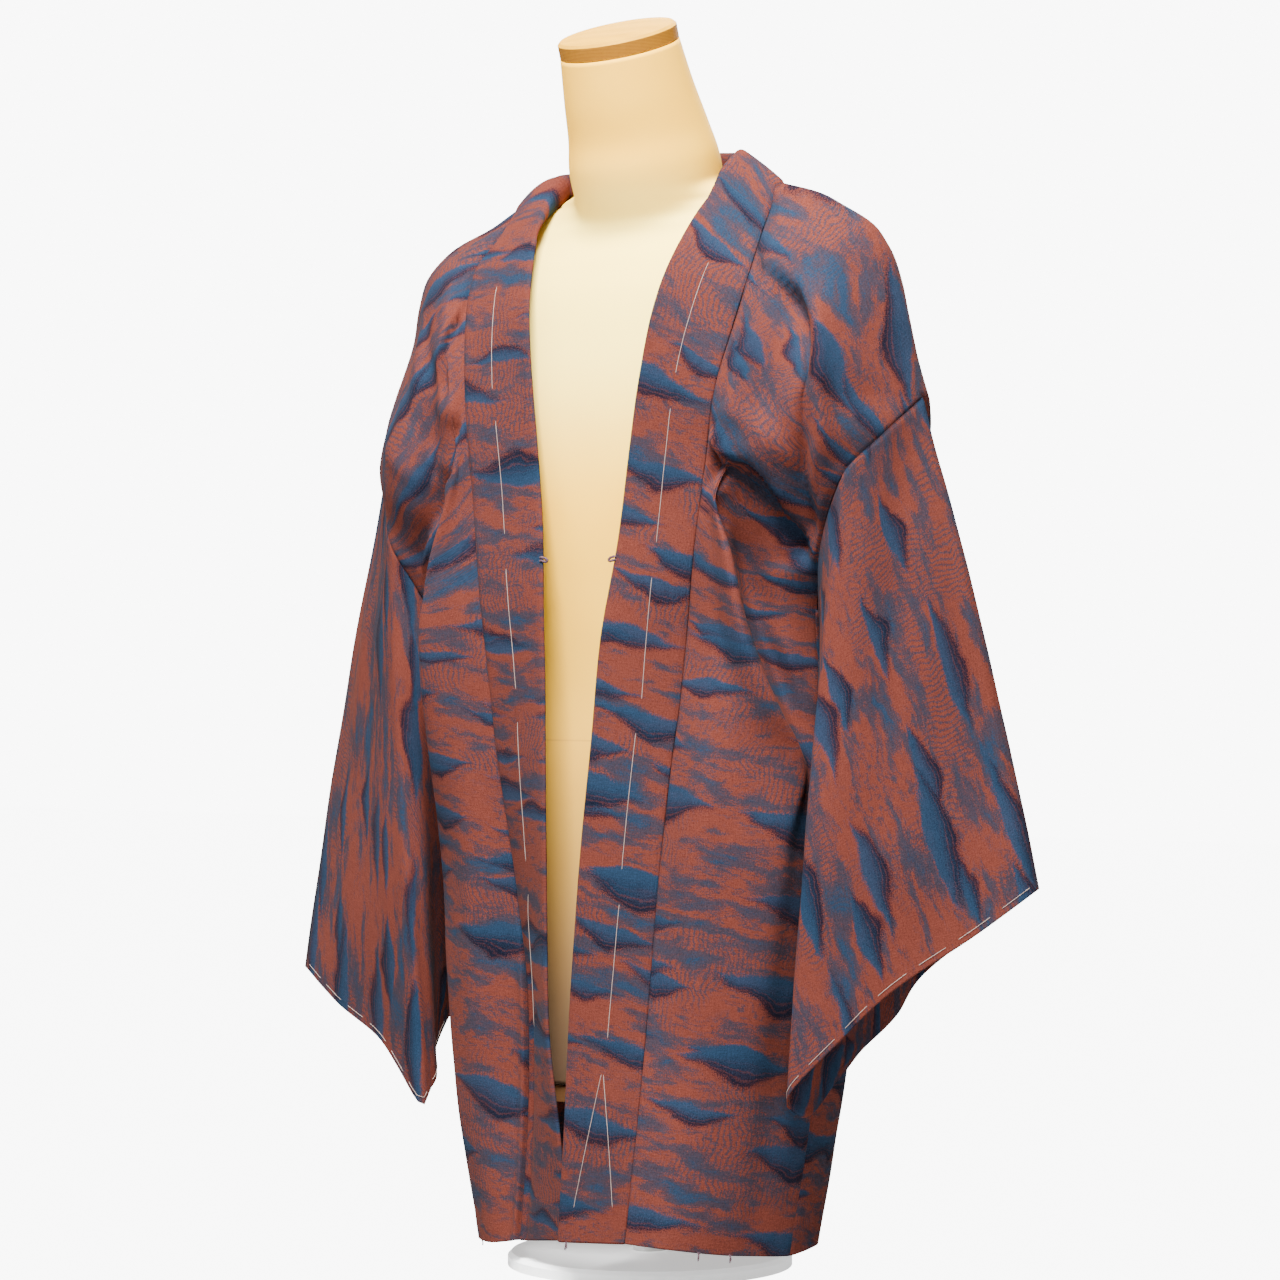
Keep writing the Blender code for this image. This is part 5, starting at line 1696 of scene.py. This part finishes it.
def weave_group():
    """Height and tone of the weave; the pitch is the width of a yarn in metres."""
    graph, given, result = new_group(
        "plain_weave",
        (("Cut", VECTOR, None), ("Pitch", FLOAT, 0.0008)),
        (("Height", FLOAT), ("Tone", FLOAT)),
    )
    u, v, _ = graph.split(given["Cut"])
    rate = graph.math("DIVIDE", math.pi, given["Pitch"])
    warp = graph.math("SINE", graph.times(u, rate))
    weft = graph.math("SINE", graph.times(v, rate))
    crossing = graph.times(warp, weft)
    weft_slub = graph.noise(graph.stretch(given["Cut"], 130, 1100), 1.0, 1.5)
    warp_slub = graph.noise(graph.stretch(given["Cut"], 1100, 110), 1.0, 1.5)
    slub = graph.minus(graph.plus(weft_slub, warp_slub), 1.0)
    speck = graph.noise(graph.stretch(given["Cut"], 900, 820), 1.0, 2.0, 0.7)
    speck = graph.minus(speck, 0.5)
    height = graph.plus(graph.times(crossing, 0.25), graph.plus(slub, speck))
    graph.feed(result["Height"], height)
    uneven = graph.plus(graph.times(slub, 0.45), graph.times(speck, 1.5))
    graph.feed(result["Tone"], graph.plus(uneven, 1.0))
    return graph.tree


WEAVE = weave_group()
print("weave group has", len(WEAVE.nodes), "nodes")

# %% [markdown]
# ## Printed mist
# The print is a general one: rows of long lens shapes, shaded from blue to navy as a
# dyer brushes them, with faint contour lines. Between them run speckled wisps, thin
# upright strokes and wandering outlines. The lenses sit in staggered cells, with a
# size, slide and height of their own from the cell's number. Every edge is broken up
# by a fine jitter of the place that is read, so the dye looks woven in.

# %% Print group
# Each set of lenses: cell width, cell height (m), seed, share of cells that are filled.
LENS_ROWS = (
    (0.135, 0.060, 3.0, 0.88),
    (0.100, 0.043, 11.0, 0.55),
)
BRICK = (0.082, 0.0205, 0.0142, 1.0)
BLUE = (0.0092, 0.0214, 0.0415, 1.0)
NAVY = (0.0034, 0.0040, 0.0090, 1.0)
SLATE = (0.0195, 0.0178, 0.0258, 1.0)
TILT = 0.16                      # the rows climb this much along the cut
STROKES = 240                    # upright strokes on each metre
OUTLINES = 9.0                   # wandering outlines over the whole range of the noise
RINGS = 44.0                     # rate of the faint rings down a lens, in radians
WOBBLE = (0.028, 0.020, 0.0)     # metres by which the big shapes wander
JITTER = (0.0045, 0.0028, 0.0)   # metres by which every edge is broken up
# A lens in its cell, as shares of the cell. Each pair is a spread and a least value.
LENS_HALF = (0.10, 0.40)
LENS_LEAN = (0.24, -0.12)
LENS_TOP = (0.16, 0.05)
LENS_DEPTH = (0.20, 0.24)
LENS_SHAPE = 1.35                # above 1 the lens is rounder in its middle,
LENS_UNDERSIDE = 1.5             # and its underside is slimmer at the ends


def lens_rows(graph, u, v, wide, high, seed, filled, grain):
    """Mask of a set of lenses and how far down each point lies in its lens."""
    level = graph.math("DIVIDE", v, high)
    row = graph.math("FLOOR", level)
    y = graph.minus(graph.math("FRACT", level), 0.5)
    slide = graph.node("ShaderNodeTexWhiteNoise", {"W": graph.plus(row, seed)},
                       noise_dimensions="1D")
    place = graph.plus(graph.math("DIVIDE", u, wide), slide)
    cell = graph.math("FLOOR", place)
    x = graph.minus(graph.math("FRACT", place), 0.5)
    dice = graph.tree.nodes.new("ShaderNodeTexWhiteNoise")
    dice.noise_dimensions = "3D"
    graph.feed(dice.inputs["Vector"], graph.vector(cell, row, seed))
    first, second, third = graph.split(dice.outputs["Color"], "Color")
    reach = graph.scaled(first, *LENS_HALF)
    lean = graph.scaled(second, *LENS_LEAN)
    span = graph.math("DIVIDE", graph.minus(x, lean), reach)
    span = graph.math("POWER", graph.absolute(span), LENS_SHAPE)
    body = graph.math("MAXIMUM", graph.minus(1.0, span), 0.0)
    top = graph.times(body, graph.scaled(second, *LENS_TOP))
    low_body = graph.math("POWER", body, LENS_UNDERSIDE)
    deep = graph.scaled(third, *LENS_DEPTH)
    bottom = graph.times(low_body, graph.times(deep, -1.0))
    above = graph.minus(top, y)
    below = graph.minus(y, bottom)
    edge = graph.math("MINIMUM", graph.times(above, 1.6), graph.times(below, 0.8))
    inside = graph.ramp(graph.scaled(grain, 0.16, edge), -0.005, 0.07)
    there = graph.math("LESS_THAN", dice.outputs["Value"], filled)
    thick = graph.math("MAXIMUM", graph.minus(top, bottom), 0.02)
    down = graph.math("DIVIDE", above, thick, clamp=True)
    return graph.times(inside, there), down


def print_group():
    """Colour of the print at a place on the flat cut."""
    graph, given, result = new_group(
        "printed_mist",
        (("Cut", VECTOR, None), ("Brick", COLOUR, BRICK), ("Blue", COLOUR, BLUE),
         ("Navy", COLOUR, NAVY), ("Slate", COLOUR, SLATE)),
        (("Color", COLOUR),),
    )

    def moved(start, shift, reach):
        """The start moved by a noise colour, by at most half the reach each way."""
        shift = graph.move("SUBTRACT", shift, (0.5, 0.5, 0.5))
        return graph.move("ADD", start, graph.move("MULTIPLY", shift, reach))

    def thin_lines(rising, ragged, wide, crisp):
        """Ragged lines, one for each unit that a rising value climbs."""
        line = graph.absolute(graph.minus(graph.math("FRACT", rising), 0.5))
        return graph.ramp(graph.minus(line, graph.times(grain, ragged)), wide, crisp)

    def drawn(colour, mask, field, strength):
        """Slate drawn over a colour where both masks allow it."""
        return graph.mix(graph.times(graph.times(mask, field), strength), colour,
                         given["Slate"])

    wobble = graph.noise(graph.stretch(given["Cut"], 1.0, 1.6), 17.0, 3.0, 0.6, out=1)
    place = moved(given["Cut"], wobble, WOBBLE)
    jitter = graph.noise(graph.stretch(given["Cut"], 1150, 1050), 1.0, 1.0, 0.5, out=1)
    u, v, _ = graph.split(moved(place, jitter, JITTER))
    v = graph.scaled(u, TILT, v)
    flat = graph.vector(u, v)

    speckle = graph.noise(graph.stretch(given["Cut"], 1300, 1100), 1.0, 1.0, 0.5)
    grain = graph.minus(speckle, 0.5)
    patches = graph.noise(graph.stretch(flat, 9, 17), 1.0, 2.0)
    other = graph.noise(graph.stretch(flat, 11, 15), 1.0, 2.0, out=1)
    stroke_field, outline_field, _ = graph.split(other, "Color")

    # speckled wisps of slate, with blue where they are thickest
    streaks = graph.noise(graph.stretch(flat, 17, 60), 1.0, 4.0, 0.62)
    streaks = graph.plus(streaks, graph.times(grain, 0.25))
    cloud = graph.plus(streaks, graph.times(patches, 0.35))
    colour = graph.mix(graph.ramp(cloud, 0.66, 0.735, 0.0, 0.9), given["Brick"],
                       given["Slate"])
    colour = graph.mix(graph.ramp(cloud, 0.785, 0.835, 0.0, 0.9), colour, given["Blue"])

    # thin upright strokes, and outlines that wander
    sway = graph.noise(graph.stretch(flat, 14, 40), 1.0, 1.0)
    swaying = graph.scaled(u, STROKES, graph.times(sway, 3.0))
    strokes = thin_lines(swaying, 0.25, 0.22, 0.10)
    colour = drawn(colour, strokes, graph.ramp(stroke_field, 0.50, 0.58), 0.85)
    folds = graph.noise(graph.stretch(flat, 15, 44), 1.0, 4.0, 0.66)
    outlines = thin_lines(graph.times(folds, OUTLINES), 0.15, 0.13, 0.05)
    colour = drawn(colour, outlines, graph.ramp(outline_field, 0.47, 0.56), 0.75)

    # the lenses, the smaller set first, each shaded downwards with faint rings
    for wide, high, seed, filled in reversed(LENS_ROWS):
        mask, down = lens_rows(graph, u, v, wide, high, seed, filled, grain)
        shade = graph.plus(down, graph.times(grain, 0.9))
        dyed = graph.mix(graph.ramp(shade, 0.20, 0.90), given["Blue"], given["Navy"])
        rings = graph.math("SINE", graph.times(down, RINGS))
        rings = graph.times(graph.ramp(rings, 0.5, 0.95), graph.ramp(down, 0.40, 0.65))
        dyed = graph.mix(graph.times(rings, 0.30), dyed, given["Brick"])
        colour = graph.mix(graph.times(mask, 0.94), colour, dyed)
    graph.feed(result["Color"], colour)
    return graph.tree


PRINT = print_group()
print("print group has", len(PRINT.nodes), "nodes")

# %% [markdown]
# ## The cloth's material
# The print gives the colour, the weave breaks it into threads and gives the bump.
# The cloth is matt, with a trace of the bloom of soft wool, which is what the shader's
# sheen is for. Collar and body share one recipe, the collar a shade deeper.

# %% Cloth finishes


def use_group(graph, tree, **inputs):
    """Outputs of a node group, with some of its inputs set or linked."""
    node = graph.tree.nodes.new("ShaderNodeGroup")
    node.node_tree = tree
    graph.fill(node, inputs)
    return node.outputs


def cloth_finish(name, deeper=1.0):
    """Printed cloth; a value of deeper below 1 darkens it."""
    finish, graph, shader = new_material(name)
    cut = graph.node("ShaderNodeUVMap", uv_map="flat_cut")
    printed = use_group(graph, PRINT, Cut=cut)["Color"]
    woven = use_group(graph, WEAVE, Cut=cut)
    soft = graph.noise(graph.stretch(cut, 7, 7), 1.0, 2.0)
    faded = graph.ramp(soft, 0.3, 0.7, 0.93 * deeper, 1.05 * deeper)
    tone = graph.times(woven["Tone"], faded)
    grey = graph.vector(tone, tone, tone)
    graph.fill(shader, {
        "Base Color": graph.mix(1.0, printed, grey, "MULTIPLY"),
        "Roughness": graph.ramp(woven["Height"], -0.5, 0.5, 0.92, 0.80),
        "Normal": graph.bump(woven["Height"], 0.5, 0.0003),
        "Sheen Weight": 0.008,
        "Sheen Roughness": 0.5,
        "Specular IOR Level": 0.01,
    })
    return finish


body_cloth = cloth_finish("haori_cloth")
collar_cloth = cloth_finish("haori_collar_cloth", 0.96)
print("cloth finish has", len(body_cloth.node_tree.nodes), "nodes")
for piece in (*bodies.values(), *gussets.values(), *sleeves.values()):
    piece.data.materials.append(body_cloth)
collar.data.materials.append(collar_cloth)

# %% [markdown]
# ## Threads
# The basting is loose white cotton. A fine noise stands for the fibres of the thread.
# The loops and the hem's thread ends are dark, dyed with the cloth.

# %% Thread finishes


def thread_finish(name, colour, dark):
    """Spun thread, mottled between a light and a dark tone of its dye."""
    finish, graph, shader = new_material(name)
    fibres = graph.noise(graph.node("ShaderNodeTexCoord", out="Object"), 1400.0, 2.0)
    graph.fill(shader, {
        "Base Color": graph.mix(fibres, (*colour, 1.0), (*dark, 1.0)),
        "Roughness": graph.ramp(fibres, 0.3, 0.7, 0.75, 0.9),
        "Normal": graph.bump(fibres, 0.4, 0.0002),
    })
    return finish


white_thread = thread_finish("basting_cotton", (0.27, 0.20, 0.17), (0.17, 0.12, 0.10))
dark_thread = thread_finish("dyed_cord", (0.08, 0.025, 0.03), (0.03, 0.02, 0.035))
for piece in bastings:
    piece.data.materials.append(white_thread)
for piece in (*loops, loose_ends):
    piece.data.materials.append(dark_thread)
print("thread pieces:", len(bastings) + len(loops) + 1)

# %% [markdown]
# ## The form and its stand
# The form is covered in smooth cream jersey, tight and nearly seamless, with one
# seam round the hips. Its colour holds painted light on the chest and painted shade
# low down towards its rim. Its neck cap and bottom board are pale oiled wood, their
# sides darkened with painted shade, the pole and base plain painted steel, the base
# with a faint painted glow of its own.

# %% Wood grain group


def grain_group():
    """Long fibres with a few growth bands, and thin layers across the thickness."""
    graph, given, result = new_group(
        "wood_grain",
        (("Place", VECTOR, None), ("Pale", COLOUR, (0.8, 0.5, 0.2, 1.0)),
         ("Dark", COLOUR, (0.5, 0.25, 0.1, 1.0)), ("Layers", FLOAT, 0.0)),
        (("Color", COLOUR), ("Height", FLOAT)),
    )
    bent = graph.noise(graph.stretch(given["Place"], 6, 14, 6), 1.0, 2.0)
    _, across, up = graph.split(given["Place"])
    growth = graph.scaled(across, 320.0, graph.times(bent, 22.0))
    growth = graph.scaled(graph.math("SINE", growth), 0.5, 0.5)
    layer = graph.math("SINE", graph.times(up, 2600.0))
    layer = graph.scaled(layer, 0.5, 0.5)
    fibre = graph.noise(graph.stretch(given["Place"], 60, 1500, 1500), 1.0, 2.0)
    top = graph.plus(graph.times(growth, 0.12), graph.times(fibre, 0.35))
    side = graph.plus(graph.times(layer, 0.18), graph.scaled(fibre, 0.5, 0.15))
    tone = graph.node("ShaderNodeMix", {0: given["Layers"], 2: top, 3: side})
    graph.feed(result["Color"], graph.mix(tone, given["Pale"], given["Dark"]))
    graph.feed(result["Height"], tone)
    return graph.tree


GRAIN = grain_group()
print("grain group has", len(GRAIN.nodes), "nodes")

# %% Hard finishes
CAP_LEAN = 21.0              # degrees; tells the cap's top from its side


def wood_finish(name, pale, dark, rough, lean=0.0):
    """Oiled wood; faces that look sideways show the layers of the board, and are mixed
    towards the dark tone as painted shade.
    """
    finish, graph, shader = new_material(name)
    place = graph.node("ShaderNodeTexCoord", out="Object")
    facing = graph.node("ShaderNodeNewGeometry", out="Normal")
    tilted = math.radians(lean)
    top = (0.0, -math.sin(tilted), math.cos(tilted))
    up = graph.move("DOT_PRODUCT", facing, top, out="Value")
    edge = graph.ramp(graph.absolute(up), 0.75, 0.45)
    grain = use_group(graph, GRAIN, Place=place, Pale=(*pale, 1.0), Dark=(*dark, 1.0),
                      Layers=edge)
    graph.fill(shader, {
        # painted shade: sideways faces are mixed towards the dark tone, darker as they turn
        # from the light above
        "Base Color": graph.mix(graph.times(edge, 0.65), grain["Color"], (*dark, 1.0)),
        "Roughness": graph.ramp(grain["Height"], 0.2, 0.9, rough, rough + 0.1),
        "Normal": graph.bump(grain["Height"], 0.2, 0.0002),
        "Specular IOR Level": 0.12,
    })
    return finish


def mottled_finish(name, colour, other, rough, scale, bump_height, glow=0.0):
    """A plain surface with slow mottling and a fine tooth; a glow above 0 is painted light,
    the surface shining though it is no lamp.
    """
    finish, graph, shader = new_material(name)
    place = graph.node("ShaderNodeTexCoord", out="Object")
    fine = graph.noise(place, 900.0, 2.0)
    blotch = graph.ramp(graph.noise(place, scale, 3.0), 0.35, 0.65)
    graph.fill(shader, {
        "Base Color": graph.mix(blotch, (*colour, 1.0), (*other, 1.0)),
        "Roughness": graph.ramp(fine, 0.3, 0.7, rough - 0.04, rough + 0.05),
        "Normal": graph.bump(fine, 0.3, bump_height),
        # painted light: a white glow of its own, at the strength given
        "Emission Color": (1.0, 1.0, 1.0, 1.0),
        "Emission Strength": glow,
    })
    return finish


SEAM_LEVEL = 0.398           # height of the jersey's seam round the hips, metres
RIM_SHADE_FROM = 0.55             # below this, painted shade darkens the jersey towards the rim,
RIM_SHADE_DEEPEST = 0.142           # where the painted shade is deepest


def jersey_finish():
    """Cream jersey with one thin seam, painted light on the chest and painted shade towards
    the lower rim.
    """
    finish = mottled_finish("form_jersey", (0.94, 0.48, 0.016), (0.96, 0.51, 0.022),
                            0.62, 11.0, 0.0002)
    graph = Graph(finish.node_tree)
    shader = finish.node_tree.nodes["Principled BSDF"]
    plain = shader.inputs["Base Color"].links[0].from_socket
    _, _, height = graph.split(graph.node("ShaderNodeTexCoord", out="Object"))
    off = graph.absolute(graph.minus(height, SEAM_LEVEL))
    seam = graph.ramp(off, 0.0009, 0.0003)
    # painted light: the chest is mixed towards a paler cream, as if more light fell on it
    painted_light_on_chest = graph.times(graph.ramp(height, 0.56, 0.70), graph.ramp(height, 0.84, 0.785))
    colour = graph.mix(painted_light_on_chest, plain, (0.98, 0.72, 0.15, 1.0))
    colour = graph.mix(graph.times(seam, 0.35), colour, (0.50, 0.22, 0.04, 1.0))
    # painted shade: the jersey darkens towards its lower rim, deep inside the jacket
    rim = graph.ramp(height, RIM_SHADE_FROM, RIM_SHADE_DEEPEST, 0.0, 0.92)
    colour = graph.mix(rim, colour, (0.108, 0.069, 0.062, 1.0))
    graph.fill(shader, {"Base Color": colour, "Specular IOR Level": 0.15})
    return finish


dress_form.data.materials.append(jersey_finish())
hard_finishes = {
    "neck_cap": wood_finish("cap_wood", (0.66, 0.33, 0.001), (0.17, 0.050, 0.004),
                            0.60, CAP_LEAN),
    "bottom_board": wood_finish("board_wood", (0.30, 0.15, 0.06), (0.18, 0.08, 0.03),
                                0.55),
    "stand_pole": mottled_finish("pole_paint", (0.82, 0.82, 0.81), (0.86, 0.86, 0.85),
                                 0.40, 30.0, 0.0001),
    # the base is given painted light, a faint glow of its own, so it looks as bright as the
    # backdrop
    "stand_base": mottled_finish("base_paint", (0.93, 0.93, 0.92), (0.95, 0.95, 0.94),
                                 0.60, 24.0, 0.0001, glow=0.7),
}
for node, finish in hard_finishes.items():
    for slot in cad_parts[node].material_slots:
        slot.material = finish
print("hard finishes:", len(hard_finishes))
